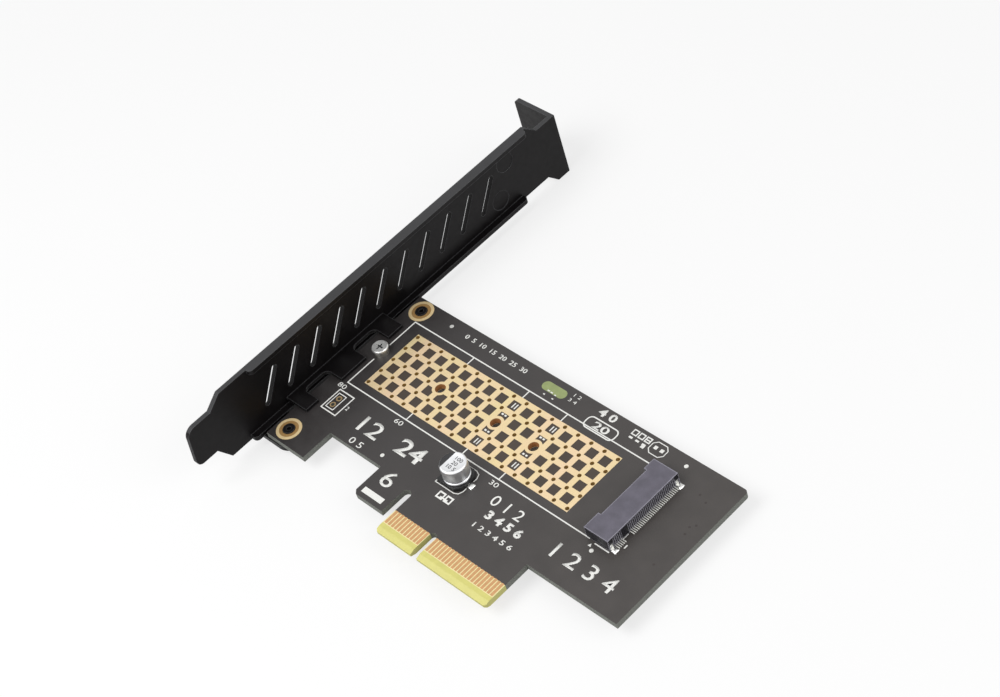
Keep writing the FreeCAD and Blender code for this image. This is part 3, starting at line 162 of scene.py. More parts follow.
class Surface(Tree):
    """A material's node tree, with short calls for the nodes that the pieces share."""

    def __init__(self, name, **sockets):
        self.material = bpy.data.materials.new(name)
        super().__init__(self.material)
        self.shader = self.nodes["Principled BSDF"]
        for socket, value in sockets.items():
            self.shader.inputs[SOCKETS[socket]].default_value = value
        geometry = self.nodes.new("ShaderNodeNewGeometry").outputs
        self.position = geometry["Position"]
        self.normal = geometry["Normal"]
        self.behind = geometry["Backfacing"]

    def mix(self, factor, first, second):
        """The first colour where the factor is 0, and the second where it is 1."""
        node = self.nodes.new("ShaderNodeMix")
        node.data_type = "RGBA"
        self.put(node.inputs["Factor"], factor)
        self.put(node.inputs["A"], first)
        self.put(node.inputs["B"], second)
        return node.outputs["Result"]

    def axes(self, vector):
        """The X, Y and Z of a vector."""
        node = self.nodes.new("ShaderNodeSeparateXYZ")
        self.links.new(vector, node.inputs[0])
        return node.outputs

    def stretched(self, scale):
        """The place on the piece, with each axis scaled."""
        node = self.nodes.new("ShaderNodeVectorMath")
        node.operation = "MULTIPLY"
        self.links.new(self.position, node.inputs[0])
        node.inputs[1].default_value = scale
        return node.outputs[0]

    def slanted(self):
        """The place on the piece, turned so that a pattern runs across the board."""
        node = self.nodes.new("ShaderNodeMapping")
        self.links.new(self.position, node.inputs["Vector"])
        node.inputs["Rotation"].default_value = (0.0, 0.0, math.radians(BAND_TURN))
        node.inputs["Scale"].default_value = (1.0, BAND_STRETCH, 1.0)
        return node.outputs[0]

    def noise(self, size, detail=3.0, vector=None):
        """Noise from 0 to 1 whose lumps are about a size in millimetres."""
        node = self.nodes.new("ShaderNodeTexNoise")
        node.inputs["Scale"].default_value = 1 / (size * MM)
        node.inputs["Detail"].default_value = detail
        self.put(node.inputs["Vector"], vector or self.position)
        return node.outputs["Fac"]

    def between(self, value, low, high):
        """1 where a value in metres lies between two places in millimetres."""
        above = self.math("GREATER_THAN", value, low * MM)
        below = self.math("LESS_THAN", value, high * MM)
        return self.math("MULTIPLY", above, below)

    def ramp(self, value, start, end, low=0.0, high=1.0):
        """From low to high, while another value runs from start to end."""
        node = self.nodes.new("ShaderNodeMapRange")
        self.links.new(value, node.inputs["Value"])
        names = ("From Min", "From Max", "To Min", "To Max")
        for name, level in zip(names, (start, end, low, high)):
            node.inputs[name].default_value = level
        return node.outputs["Result"]

    def spread(self, value, low, high):
        """Noise stretched to run from low to high."""
        return self.ramp(value, NOISE_LOW, NOISE_HIGH, low, high)

    def rounded(self, edge):
        """The surface's direction, with edges softened by a radius in millimetres."""
        rounding = self.nodes.new("ShaderNodeBevel")
        rounding.samples = EDGE_SAMPLES
        rounding.inputs["Radius"].default_value = edge * MM
        return rounding.outputs[0]

    def painted_edge_highlight(self, edge):
        """1 along outer edges, within a radius in millimetres, and 0 on open faces; it places
        painted edge highlights.
        """
        compare = self.nodes.new("ShaderNodeVectorMath")
        compare.operation = "DOT_PRODUCT"
        self.links.new(self.rounded(edge), compare.inputs[0])
        self.links.new(self.normal, compare.inputs[1])
        turned = self.math("SUBTRACT", 1.0, compare.outputs["Value"])
        return self.math("MINIMUM", self.math("MULTIPLY", turned, EDGE_GAIN), 1.0)

    def colour(self, value):
        """Set or link the base colour."""
        self.put(self.shader.inputs["Base Color"], value)

    def roughness(self, value):
        """Set or link the roughness."""
        self.put(self.shader.inputs["Roughness"], value)

    def relief(self, height, depth, edge=0.0):
        """Bump of a depth in millimetres, over edges softened by a radius."""
        bump = self.nodes.new("ShaderNodeBump")
        bump.inputs["Distance"].default_value = depth * MM
        self.links.new(height, bump.inputs["Height"])
        if edge:
            self.links.new(self.rounded(edge), bump.inputs["Normal"])
        self.links.new(bump.outputs[0], self.shader.inputs["Normal"])


def varied(surface, colour, size, change):
    """A colour that wanders a little in lightness over lumps of a size."""
    darker = [part * (1 - change) for part in colour[:3]] + [1.0]
    lighter = [min(1.0, part * (1 + change)) for part in colour[:3]] + [1.0]
    return surface.mix(surface.spread(surface.noise(size), 0.0, 1.0), darker, lighter)


# The board's contact tab, small covered holes, plated holes, pin rings and lamp window.
TAB_SIDES = (FINGERS_LOW.x - 1.5, FINGERS_HIGH.x + 1.5)
TAB_LOW = -1.0
TAB_MASK_START = FINGERS_HIGH.y - 0.1
AMONG_CONTACTS = FINGERS_LOW.y - 0.2
TENTED_HOLES = ((43.9, 39.6), (44.8, 40.7), (44.3, 37.7), (42.5, 46.3), (44.2, 28.2), (40.1, 47.2))
TENTED_RADIUS = 0.3
TENTED_SHARE = 0.6
PLATED_REACH = 1.6
PIN_RING = 6.2
PIN_SHADE = 2.35
PIN_X = (PINS_LOW.x + PINS_HIGH.x) / 2
PIN_MIDDLES = ((PIN_X, PINS_LOW.y + PIN_RING / 2), (PIN_X, PINS_HIGH.y - PIN_RING / 2))
WINDOW_MIDDLE = ((LAMP_LOW.x + LAMP_HIGH.x) / 2, (LAMP_LOW.y + LAMP_HIGH.y) / 2)
WINDOW_STRAIGHT = 2.3
WINDOW_RADIUS = 1.25
CUT_ROUGHNESS = (0.8, 0.8, 0.8, 1.0)


def board_material():
    """Dark mask, painted darker towards the bracket as shade, bare laminate on the edges and the
    contact tab, and the lamp's window.
    """
    skin = Surface("solder_mask_skin")
    x, y = skin.axes(skin.position)[:2]
    facing = skin.axes(skin.normal)[2]
    flat = skin.math("GREATER_THAN", skin.math("ABSOLUTE", facing), 0.5)
    # Painted shade: the mask runs from darker at the bracket's end to lighter at the far end.
    along = skin.ramp(x, BOARD_LOW.x * MM, BOARD_HIGH.x * MM)
    darker = varied(skin, srgb(42, 39, 39), 9.0, 0.1)
    mask = skin.mix(along, darker, varied(skin, srgb(62, 58, 56), 6.0, 0.12))
    in_field = skin.math(
        "MULTIPLY",
        skin.between(x, FIELD_LOW.x, FIELD_HIGH.x),
        skin.between(y, FIELD_LOW.y, FIELD_HIGH.y),
    )
    mask = skin.mix(in_field, mask, varied(skin, srgb(58, 48, 40), 5.0, 0.12))
    grain = skin.noise(0.35, 2.0, skin.stretched((1.0, 1.0, 4.0)))
    edge = skin.mix(skin.spread(grain, 0.0, 1.0), srgb(74, 77, 73), srgb(128, 130, 123))
    among = skin.between(y, AMONG_CONTACTS, FINGERS_HIGH.y)
    bare = skin.mix(among, varied(skin, srgb(204, 198, 116), 1.6, 0.05), srgb(236, 222, 172))
    weave = skin.noise(0.5, 1.0, skin.stretched((1.0, 3.0, 1.0)))
    bare = skin.mix(skin.spread(weave, 0.0, 0.35), bare, srgb(190, 188, 104))
    tab = skin.between(y, TAB_LOW, TAB_MASK_START)
    across = skin.between(x, *TAB_SIDES)
    on_tab = skin.math("MULTIPLY", tab, across)
    for place in TENTED_HOLES:
        spot = within(skin, x, y, place, TENTED_RADIUS)
        mask = skin.mix(skin.math("MULTIPLY", spot, TENTED_SHARE), mask, srgb(34, 24, 22))
    window = window_mask(skin, x, y)
    window_colour = varied(skin, srgb(138, 150, 98), 1.2, 0.08)
    top = skin.mix(window, mask, window_colour)
    face = skin.mix(on_tab, top, bare)
    skin.colour(skin.mix(flat, wall_colour(skin, x, y, on_tab, edge), face))
    smooth = skin.spread(skin.noise(2.5), 0.34, 0.46)
    skin.roughness(skin.mix(flat, CUT_ROUGHNESS, smooth))
    skin.relief(skin.noise(0.25, 4.0), 0.006)
    return skin.material


def wall_colour(skin, x, y, on_tab, edge):
    """Cut edges: grey-green along the board, paler on the tab, plating in the holes."""
    colour = skin.mix(on_tab, edge, srgb(184, 180, 112))
    for step in (0.0,) + SHORT_STEPS:
        near = within(skin, x, y, (LONG_X + step, MODULE_Y), PLATED_REACH)
        colour = skin.mix(near, colour, srgb(166, 112, 62))
    for middle in PIN_MIDDLES:
        near = within(skin, x, y, middle, PIN_RING / 2)
        colour = skin.mix(near, colour, srgb(120, 92, 52))
    return colour


def within(skin, x, y, middle, radius):
    """1 inside a circle round a place on the board."""
    dx = skin.math("SUBTRACT", x, middle[0] * MM)
    dy = skin.math("SUBTRACT", y, middle[1] * MM)
    length = skin.math("ADD", skin.math("MULTIPLY", dx, dx), skin.math("MULTIPLY", dy, dy))
    return skin.math("LESS_THAN", length, (radius * MM) ** 2)


def window_mask(skin, x, y):
    """1 inside the oval without mask over the lamp."""
    away = skin.math("ABSOLUTE", skin.math("SUBTRACT", x, WINDOW_MIDDLE[0] * MM))
    past = skin.math("MAXIMUM", skin.math("SUBTRACT", away, WINDOW_STRAIGHT * MM), 0.0)
    return within(skin, past, y, (0.0, WINDOW_MIDDLE[1]), WINDOW_RADIUS)


def metal(name, colour, rough, lump, depth, edge=0.02, stretch=(1.0, 1.0, 1.0), share=1.0):
    """Plated or bare metal: slow colour drift, fine grain and uneven gloss."""
    skin = Surface(name, metallic=share)
    skin.colour(varied(skin, colour, lump * 6, 0.07))
    grain = skin.noise(lump, 4.0, skin.stretched(stretch))
    skin.roughness(skin.spread(grain, rough - 0.07, rough + 0.08))
    skin.relief(grain, depth, edge)
    return skin.material


def plastic(name, colour, rough, lump, depth, edge):
    """Moulded plastic with a fine texture and softened edges."""
    skin = Surface(name)
    skin.colour(varied(skin, colour, lump * 30, 0.16))
    skin.roughness(skin.spread(skin.noise(lump * 12), rough - 0.05, rough + 0.07))
    skin.relief(skin.noise(lump, 5.0), depth, edge)
    return skin.material


# The bracket's lips lie above this level; their tops shine more than its walls and are painted
# greyer as lit faces.
LIP_LEVEL = 10.0
WALL_SHINE = 0.15
LIP_SHINE = 0.3


def bracket_material():
    """Black moulding: deep black walls, lip tops painted greyer as lit faces, and painted
    highlights on rims that catch light.
    """
    skin = Surface("bracket_skin")
    z = skin.axes(skin.position)[2]
    upward = skin.math("GREATER_THAN", skin.axes(skin.normal)[2], 0.7)
    # Painted light: upward faces of the lips, above LIP_LEVEL, are painted greyer than the walls.
    lit_lip_tops = skin.math("MULTIPLY", upward, skin.math("GREATER_THAN", z, LIP_LEVEL * MM))
    walls = varied(skin, srgb(13, 11, 12), 9.0, 0.25)
    body = skin.mix(lit_lip_tops, walls, varied(skin, srgb(38, 38, 40), 4.0, 0.12))
    # Painted highlight: outer edges are painted light grey.
    skin.colour(skin.mix(skin.painted_edge_highlight(0.28), body, srgb(74, 74, 76)))
    shine = skin.math("ADD", skin.math("MULTIPLY", lit_lip_tops, LIP_SHINE), WALL_SHINE)
    skin.put(skin.shader.inputs[SOCKETS["shine"]], shine)
    skin.roughness(skin.spread(skin.noise(1.5), 0.36, 0.5))
    skin.relief(skin.noise(0.12, 5.0), 0.008, 0.2)
    return skin.material


def pin_ring_material():
    """Gold plate round the bracket's pins: a pale rim, with painted shade making it browner
    towards the hole.
    """
    skin = Surface("pin_ring_gold", metallic=0.55)
    x, y = skin.axes(skin.position)[:2]
    colour = varied(skin, srgb(226, 202, 154), 1.8, 0.07)
    for middle in PIN_MIDDLES:
        # Painted shade: the plate within PIN_SHADE of each pin's middle is painted brown.
        colour = skin.mix(within(skin, x, y, middle, PIN_SHADE), colour, srgb(166, 130, 80))
    skin.colour(colour)
    grain = skin.noise(0.3, 4.0)
    skin.roughness(skin.spread(grain, 0.45, 0.6))
    skin.relief(grain, 0.004, 0.02)
    return skin.material


# The drive in the screw's head, painted in shade: its depth and its reach from the axis.
DRIVE_DROP = 0.12
DRIVE_REACH = 0.9


def screw_material():
    """Nickel plate, with the drive in the head painted dull dark as shade."""
    skin = Surface("screw_nickel", metallic=0.75)
    x, y, z = skin.axes(skin.position)
    low = skin.math("LESS_THAN", z, (SCREW_HIGH.z - DRIVE_DROP) * MM)
    drive_shade = skin.math("MULTIPLY", low, within(skin, x, y, (LONG_X, MODULE_Y), DRIVE_REACH))
    # Painted shade: the recess of the drive is painted dark grey.
    skin.colour(skin.mix(drive_shade, varied(skin, srgb(212, 212, 210), 1.0, 0.07), srgb(74, 74, 76)))
    grain = skin.noise(0.3, 4.0)
    skin.roughness(skin.spread(grain, 0.28, 0.42))
    skin.relief(grain, 0.001, 0.05)
    return skin.material


def socket_material():
    """The socket's plastic: near black on the sides, the flat top painted matt grey as sheen, and
    painted highlights on its edges.
    """
    skin = Surface("socket_skin")
    facing = skin.axes(skin.normal)[2]
    # Painted light: faces that point up are painted lighter than the sides.
    top = skin.math("GREATER_THAN", facing, 0.9)
    flat = varied(skin, srgb(88, 85, 96), 2.4, 0.16)
    sides = varied(skin, srgb(20, 19, 26), 2.0, 0.2)
    body = skin.mix(top, sides, flat)
    # Painted highlight: outer edges are painted pale grey.
    body = skin.mix(skin.painted_edge_highlight(0.42), body, srgb(158, 156, 168))
    skin.colour(body)
    skin.roughness(skin.spread(skin.noise(1.5), 0.34, 0.5))
    skin.relief(skin.noise(0.1, 5.0), 0.004, 0.06)
    return skin.material


FOOT_RISE = 0.4


def contact_material():
    """Tinned contacts: bright on the soldered feet, painted dark as shade in their channels."""
    skin = Surface("contact_tin", metallic=0.15)
    z = skin.axes(skin.position)[2]
    # Painted shade: above FOOT_RISE over the board the contacts are painted dark.
    foot = skin.math("LESS_THAN", z, (BOARD_TOP + FOOT_RISE) * MM)
    tin = varied(skin, srgb(240, 240, 234), 0.5, 0.04)
    skin.colour(skin.mix(foot, srgb(70, 68, 66), tin))
    skin.roughness(skin.spread(skin.noise(0.2), 0.36, 0.5))
    skin.relief(skin.noise(0.15), 0.002)
    return skin.material


def field_material():
    """Fine matt gold plate that drifts from pinkish to yellowish in slanted bands."""
    skin = Surface("heat_field_gold", metallic=0.65)
    bands = skin.noise(7.0, 2.0, skin.slanted())
    colour = skin.mix(skin.spread(bands, 0.0, 1.0), srgb(234, 207, 176), srgb(229, 211, 162))
    grain = skin.noise(0.25, 4.0)
    colour = skin.mix(skin.spread(grain, 0.0, 0.14), colour, srgb(170, 130, 84))
    skin.colour(colour)
    skin.roughness(skin.spread(grain, 0.44, 0.58))
    skin.relief(grain, 0.003, 0.03)
    return skin.material


RESISTOR_END = 0.33


def resistor_material():
    """Black glazed body with tinned ends."""
    skin = Surface("resistor_skin")
    x = skin.axes(skin.position)[0]
    body = skin.between(x, RESISTOR_LOW.x + RESISTOR_END, RESISTOR_HIGH.x - RESISTOR_END)
    skin.colour(skin.mix(body, srgb(196, 196, 194), varied(skin, srgb(30, 30, 33), 0.4, 0.15)))
    skin.put(skin.shader.inputs["Metallic"], skin.math("SUBTRACT", 1.0, body))
    skin.roughness(skin.spread(skin.noise(0.3), 0.3, 0.45))
    skin.relief(skin.noise(0.12), 0.004, 0.03)
    return skin.material


def lamp_material():
    """Pale cloudy resin that lets light in."""
    skin = Surface("lamp_resin_skin", clear=0.35, roughness=0.25)
    skin.colour(varied(skin, srgb(236, 232, 205), 0.4, 0.05))
    skin.relief(skin.noise(0.2), 0.003, 0.04)
    return skin.material


def print_material():
    """White screen print with a dry, slightly speckled surface."""
    skin = Surface("white_print")
    skin.colour(varied(skin, srgb(226, 226, 222), 0.3, 0.06))
    skin.roughness(skin.spread(skin.noise(0.4), 0.5, 0.7))
    skin.relief(skin.noise(0.08, 4.0), 0.004)
    return skin.material


def finish_node(name, material):
    """Give a CAD node its detailed material."""
    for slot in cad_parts[name].material_slots:
        slot.material = material


def add_object(name, data):
    """Put a new object in the scene."""
    thing = bpy.data.objects.new(name, data)
    bpy.context.scene.collection.objects.link(thing)
    return thing


def add_piece(name, mesh, material):
    """Put a mesh in the scene as a piece of the card, with a material unless it has its own."""
    piece = add_object(name, mesh)
    if material:
        mesh.materials.clear()
        mesh.materials.append(material)
    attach(piece, "root")
    return piece


def heat_hole_places():
    """The middles of the heat holes, with none at the screw holes."""
    screws = [Vector((LONG_X + step, MODULE_Y)) for step in SHORT_STEPS]
    places = []
    for column in range(HEAT_COLUMNS):
        for row in range(HEAT_ROWS):
            x = FIELD_LOW.x + HEAT_INSET[0] + column * HEAT_PITCH
            y = FIELD_LOW.y + HEAT_INSET[1] + row * HEAT_PITCH
            place = Vector((x, y))
            if all((place - screw).length > HEAT_KEEP_OUT for screw in screws):
                places.append(place)
    return places


def drill_bits(wall):
    """One object with a round prism at each heat hole, longer than the board is thick."""
    mesh = bpy.data.meshes.new("drill_bits")
    shape = bmesh.new()
    depth = 2 * (BOARD_HIGH.z - BOARD_LOW.z) * MM
    for place in heat_hole_places():
        bmesh.ops.create_cone(
            shape,
            cap_ends=True,
            segments=HOLE_SIDES,
            radius1=HEAT_RADIUS * MM,
            radius2=HEAT_RADIUS * MM,
            depth=depth,
            matrix=Matrix.Translation((place.x * MM, place.y * MM, 0)),
        )
    shape.to_mesh(mesh)
    shape.free()
    mesh.materials.append(wall)
    return add_object("drill_bits", mesh)


def drill(node, name, bits, material):
    """Put a copy with the heat holes cut through it in the place of a flat CAD node."""
    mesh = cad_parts[node].data.copy()
    mesh.materials.clear()
    mesh.materials.append(material)
    shape = bmesh.new()
    shape.from_mesh(mesh)
    bmesh.ops.remove_doubles(shape, verts=shape.verts, dist=SAME_PLACE * MM)
    shape.to_mesh(mesh)
    shape.free()
    blank = add_object(name + "_blank", mesh)
    cut = blank.modifiers.new("holes", "BOOLEAN")
    cut.operation = "DIFFERENCE"
    cut.solver = "EXACT"
    cut.material_mode = "TRANSFER"
    cut.object = bits
    graph = bpy.context.evaluated_depsgraph_get()
    result = bpy.data.meshes.new_from_object(blank.evaluated_get(graph))
    result.name = name
    bpy.data.objects.remove(blank)
    for face in result.polygons:
        face.use_smooth = False
    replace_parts(add_piece(name, result, None), node)


class Print:
    """Printed marks, drawn as seen from above and gathered in one mesh.

    Each stroke lies a hair above the one before, so that strokes may cross."""

    def __init__(self):
        self.shape = bmesh.new()
        self.strokes = 0

    def lift(self):
        """The height of the next stroke over the first."""
        self.strokes += 1
        return self.strokes * STROKE_LIFT * MM

    def face(self, points):
        """One filled shape."""
        lift = self.lift()
        corners = [self.shape.verts.new((x * MM, y * MM, lift)) for x, y in points]
        self.shape.faces.new(corners)

    def path(self, points, width=FRAME_LINE, closed=False):
        """One stroke through several points, mitred at the corners."""
        spots = [Vector(point) for point in points]
        lift = self.lift()
        rims = []
        for index, spot in enumerate(spots):
            ways = []
            if index or closed:
                ways.append((spot - spots[index - 1]).normalized())
            if index + 1 < len(spots) or closed:
                ways.append((spots[(index + 1) % len(spots)] - spot).normalized())
            way = (ways[0] + ways[-1]).normalized()
            side = Vector((-way.y, way.x)) * width / 2 / way.dot(ways[0])
            ends = [(*(end * MM), lift) for end in (spot - side, spot + side)]
            rims.append([self.shape.verts.new(end) for end in ends])
        for index in range(len(rims) if closed else len(rims) - 1):
            near, far = rims[index], rims[(index + 1) % len(rims)]
            self.shape.faces.new((near[0], far[0], far[1], near[1]))

    def line(self, start, end, width=FRAME_LINE):
        """One straight stroke."""
        self.path([start, end], width)

    def box(self, left, right, low, high, width=THIN_LINE):
        """The outline of a box."""
        corners = [(left, low), (right, low), (right, high), (left, high)]
        self.path(corners, width, closed=True)

    def round_box(self, left, right, low, high, radius, width):
        """A box with round corners."""
        points = []
        for x, y, start in (
            (right - radius, high - radius, 0),
            (left + radius, high - radius, 90),
            (left + radius, low + radius, 180),
            (right - radius, low + radius, 270),
        ):
            for step in range(CORNER_STEPS + 1):
                turn = math.radians(start + 90 * step / CORNER_STEPS)
                points.append((x + radius * math.cos(turn), y + radius * math.sin(turn)))
        self.path(points, width, closed=True)

    def number(self, text, middle, height, stretch=1.0, weight=0.0):
        """Plain digits centred on a point, of a height in millimetres."""
        curve = bpy.data.curves.new("digits", "FONT")
        curve.body = text
        curve.align_x = "CENTER"
        curve.align_y = "CENTER"
        curve.size = height / DIGIT_SHARE * MM
        curve.offset = weight * MM
        curve.resolution_u = DIGIT_CURVE_STEPS
        holder = add_object("digits", curve)
        graph = bpy.context.evaluated_depsgraph_get()
        mesh = bpy.data.meshes.new_from_object(holder.evaluated_get(graph))
        place = Matrix.Translation((middle[0] * MM, middle[1] * MM, self.lift()))
        mesh.transform(place @ Matrix.Diagonal((stretch, 1.0, 1.0, 1.0)))
        self.shape.from_mesh(mesh)
        bpy.data.objects.remove(holder)
        bpy.data.curves.remove(curve)
        bpy.data.meshes.remove(mesh)

    def finish(self, name, level, material, turned=False):
        """Lay the marks at a level, as a thin film; turned puts them on the solder side."""
        mesh = bpy.data.meshes.new(name)
        for vertex in self.shape.verts:
            vertex.co.z += level * MM
        bmesh.ops.recalc_face_normals(self.shape, faces=self.shape.faces)
        for face in self.shape.faces:
            if face.normal.z < 0:
                face.normal_flip()
        if turned:
            over = Matrix.Rotation(math.pi, 3, "Y")
            bmesh.ops.rotate(self.shape, verts=self.shape.verts, matrix=over)
        self.shape.to_mesh(mesh)
        self.shape.free()
        piece = add_piece(name, mesh, material)
        film = piece.modifiers.new("film", "SOLIDIFY")
        film.thickness = PRINT_THICK * MM
        film.offset = 1.0


# The printed outline of the module's place, whose ends are measured from the socket's, and the
# lengths at its ticks, with their height and stretch.
FRAME_HALF = 10.98
FRAME_END_HIGH = -1.3
FRAME_END_LOW = 1.0
SCREW_CLEAR = 2.5
UNDERLINE_START = 2.7
UNDERLINE_DROP = 0.4
LENGTHS = (("80", -49.3), ("60", -29.9), ("42", -11.9), ("30", 1.0))
LENGTH_ROW = 23.9
LENGTH_FORM = (1.25, 1.5)


def print_module_frame(ink):
    """The outline of the module's place, with a tick and a length at each screw."""
    high, low = MODULE_Y + FRAME_HALF, MODULE_Y - FRAME_HALF
    for side, y, end in ((1, high, FRAME_END_HIGH), (-1, low, FRAME_END_LOW)):
        start = (LONG_X, MODULE_Y + side * SCREW_CLEAR)
        ink.path([start, (LONG_X, y), (SOCKET_LOW.x + end, y)])
    y = low - UNDERLINE_DROP
    ink.line((SOCKET_LOW.x + UNDERLINE_START, y), (SOCKET_HIGH.x, y))
    for step in SHORT_STEPS:
        x = LONG_X + step
        ink.line((x, FIELD_HIGH.y), (x, high))
        ink.line((x, low), (x, FIELD_LOW.y))
    for text, x in LENGTHS:
        ink.number(text, (x, LENGTH_ROW), *LENGTH_FORM)


# Marks inside windows of the heat field.
BAR_COLUMNS = (8, 11)
BAR_START = 2.8
BAR_GAP = 0.4
BAR_HALF = 0.75
MARK_INSET = 2.75
DASHES = ((-0.75, -0.15), (0.2, 0.75))
DASH_WIDTH = 0.45


def print_field_marks(ink):
    """Pairs of short bars in some windows, and dashes by the screw holes."""
    for column in BAR_COLUMNS:
        x = FIELD_LOW.x + BAR_START + column * HEAT_PITCH
        for y in (FIELD_LOW.y + MARK_INSET, FIELD_HIGH.y - MARK_INSET):
            for shift in (-BAR_GAP, BAR_GAP):
                ink.line((x + shift, y - BAR_HALF), (x + shift, y + BAR_HALF))
    for step in SHORT_STEPS[1:]:
        for side in (-1, 1):
            x, y = LONG_X + step, MODULE_Y + side * MARK_INSET
            for left, right in DASHES:
                ink.line((x + left, y), (x + right, y), DASH_WIDTH)


# Left, right, low and high of the header's two boxes, from its middle.
HEADER_BOXES = (((-1.95, 2.95, -3.0, 3.1), FRAME_LINE), ((-1.2, 1.2, -2.2, 2.2), THIN_LINE))
HEADER_NUMBER_SHIFT = 3.9
SMALL_NUMBER = 1.1


def print_header_box(ink):
    """The double box round the two header holes."""
    x = (HEADER_LOW.x + HEADER_HIGH.x) / 2
    y = (HEADER_LOW.y + HEADER_HIGH.y) / 2
    for (left, right, low, high), width in HEADER_BOXES:
        ink.box(x + left, x + right, y + low, y + high, width)
    ink.number("2", (x + HEADER_NUMBER_SHIFT, y), SMALL_NUMBER)


# Plain numbers on the component side: text, middle, height, stretch and weight.
NUMBERS = (
    ("12", (-34.6, 18.8), 4.3, 1.35, 0.05),
    ("0 5", (-33.8, 14.1), 1.7, 1.4, 0.0),
    ("24", (-21.2, 19.4), 4.2, 1.35, 0.12),
    ("6", (-19.7, 11.0), 4.3, 1.3, 0.02),
    ("0 1 2", (8.3, 20.7), 2.8, 1.15, 0.0),
    ("3 4 5 6", (10.7, 17.2), 2.1, 1.25, 0.14),
    ("1 2 3 4 5 6", (10.6, 13.6), 1.3, 1.5, 0.03),
    ("1 2 3 4", (32.4, 18.8), 3.9, 1.2, 0.04),
    ("0  5  10  15  20  25  30", (-25.5, 51.0), 1.2, 1.25, 0.03),
    ("1 2", (-0.7, 52.2), 0.9, 1.5, 0.0),
    ("3 4", (-0.7, 50.6), 0.9, 1.5, 0.0),
    ("4 0", (8.9, 52.0), 2.0, 1.35, 0.1),
    ("20", (10.0, 48.5), 1.9, 1.7, 0.06),
)
# Left, right, low and high of the filled bar on the hook and of the box round one number.
BAR = (-22.6, -16.2, 5.4, 6.9)
NUMBER_BOX = (5.6, 14.4, 46.9, 50.1)
NUMBER_BOX_CORNER = 1.2
NUMBER_BOX_LINE = 0.32


def print_numbers(ink):
    """Plain numbers, a filled bar and a boxed number where a card carries its marks."""
    for mark in NUMBERS:
        ink.number(*mark)
    left, right, low, high = BAR
    ink.face([(left, low), (right, low), (right, high), (left, high)])
    ink.round_box(*NUMBER_BOX, NUMBER_BOX_CORNER, NUMBER_BOX_LINE)


# Small strokes round the lamp's window, and the places of an unfitted lamp and its resistors.
WINDOW_STROKES = (
    (-1.3, -0.9, 0.7),
    (-0.3, -0.95, 0.7),
    (1.0, -1.1, 0.5),
    (-1.4, -2.2, 0.5),
    (1.2, -2.2, 0.5),
)
LAMP_OUTLINE = (22.4, 26.7, 49.5, 52.9)
LAMP_CORNER = 0.9
PAD_BOXES = (16.6, 18.5, 20.4)
PAD_WIDTH = 1.3
PAD_ROWS = (51.3, 52.6)
PAD_FILL_ROW = 51.9
PAD_FILL_WIDTH = 1.2
PAD_STROKE_ROW = 50.4
PAD_STROKE_INSET = 0.1
PAD_STROKE_END = 1.1
PAD_STROKE_WIDTH = 0.5


def print_lamp_marks(ink):
    """Tiny marks round the lamp's window and the outline of an unfitted lamp."""
    x, y = WINDOW_MIDDLE
    for dx, dy, width in WINDOW_STROKES:
        ink.line((x + dx, y + dy), (x + dx + width, y + dy))
    left, right, low, high = LAMP_OUTLINE
    cut = LAMP_CORNER
    ink.path([
        (left + cut, low), (right - cut, low), (right, low + cut), (right, high - cut),
        (right - cut, high), (left + cut, high), (left, high - cut), (left, low + cut),
    ], THIN_LINE, closed=True)
    for start in PAD_BOXES:
        ink.box(start, start + PAD_WIDTH, *PAD_ROWS, FRAME_LINE)
        left, right = start + PAD_STROKE_INSET, start + PAD_STROKE_END
        ink.line((left, PAD_STROKE_ROW), (right, PAD_STROKE_ROW), PAD_STROKE_WIDTH)
    ink.line((PAD_BOXES[-1], PAD_FILL_ROW), (PAD_BOXES[-1] + PAD_FILL_WIDTH, PAD_FILL_ROW))


# The printed place of the capacitor, from its middle.
OUTLINE_REACH = 3.65
OUTLINE_CUT = 1.5
OUTLINE_NOTCH = 0.45
OUTLINE_GAPS = (0.7, 1.1)
BLOCKS = ((-0.6, 1.0), (1.8, 3.4))
BLOCK_ROWS = (-6.4, -4.9)
BLOCK_LINK = (0.3, 2.6)
BLOCK_LINK_ROW = -6.0


def print_capacitor_outline(ink):
    """The capacitor's place: cut-cornered brackets and two joined small blocks."""
    x, y = CAN_MIDDLE.x, CAN_MIDDLE.y
    far, cut, notch = OUTLINE_REACH, OUTLINE_CUT, OUTLINE_NOTCH
    for side in (-1, 1):
        ink.path([
            (x - far, y + side * OUTLINE_GAPS[0]),
            (x - far, y + side * far),
            (x + far - cut, y + side * far),
            (x + far - notch, y + side * (far - notch)),
            (x + far, y + side * (far - cut)),
            (x + far, y + side * OUTLINE_GAPS[1]),
        ], THIN_LINE)
    for left, right in BLOCKS:
        ink.box(x + left, x + right, y + BLOCK_ROWS[0], y + BLOCK_ROWS[1], THICK_LINE)
    ink.line(*[(x + end, y + BLOCK_LINK_ROW) for end in BLOCK_LINK], THICK_LINE)


# Marks by the socket: X past its end with two levels and a width, and the first pin's triangle,
# from the socket's low corner.
SOCKET_STROKES = (
    (0.1, 29.3, 31.0, THIN_LINE),
    (1.9, SOCKET_LOW.y + 2.2, SOCKET_LOW.y + 3.2, FRAME_LINE),
)
FIRST_PIN = ((1.75, -1.65), (2.65, -1.65), (2.2, -0.85))


def print_socket_marks(ink):
    """Short strokes and a first-pin mark beside the socket."""
    for shift, low, high, width in SOCKET_STROKES:
        ink.line((SOCKET_HIGH.x + shift, low), (SOCKET_HIGH.x + shift, high), width)
    ink.face([(SOCKET_LOW.x + x, SOCKET_LOW.y + y) for x, y in FIRST_PIN])


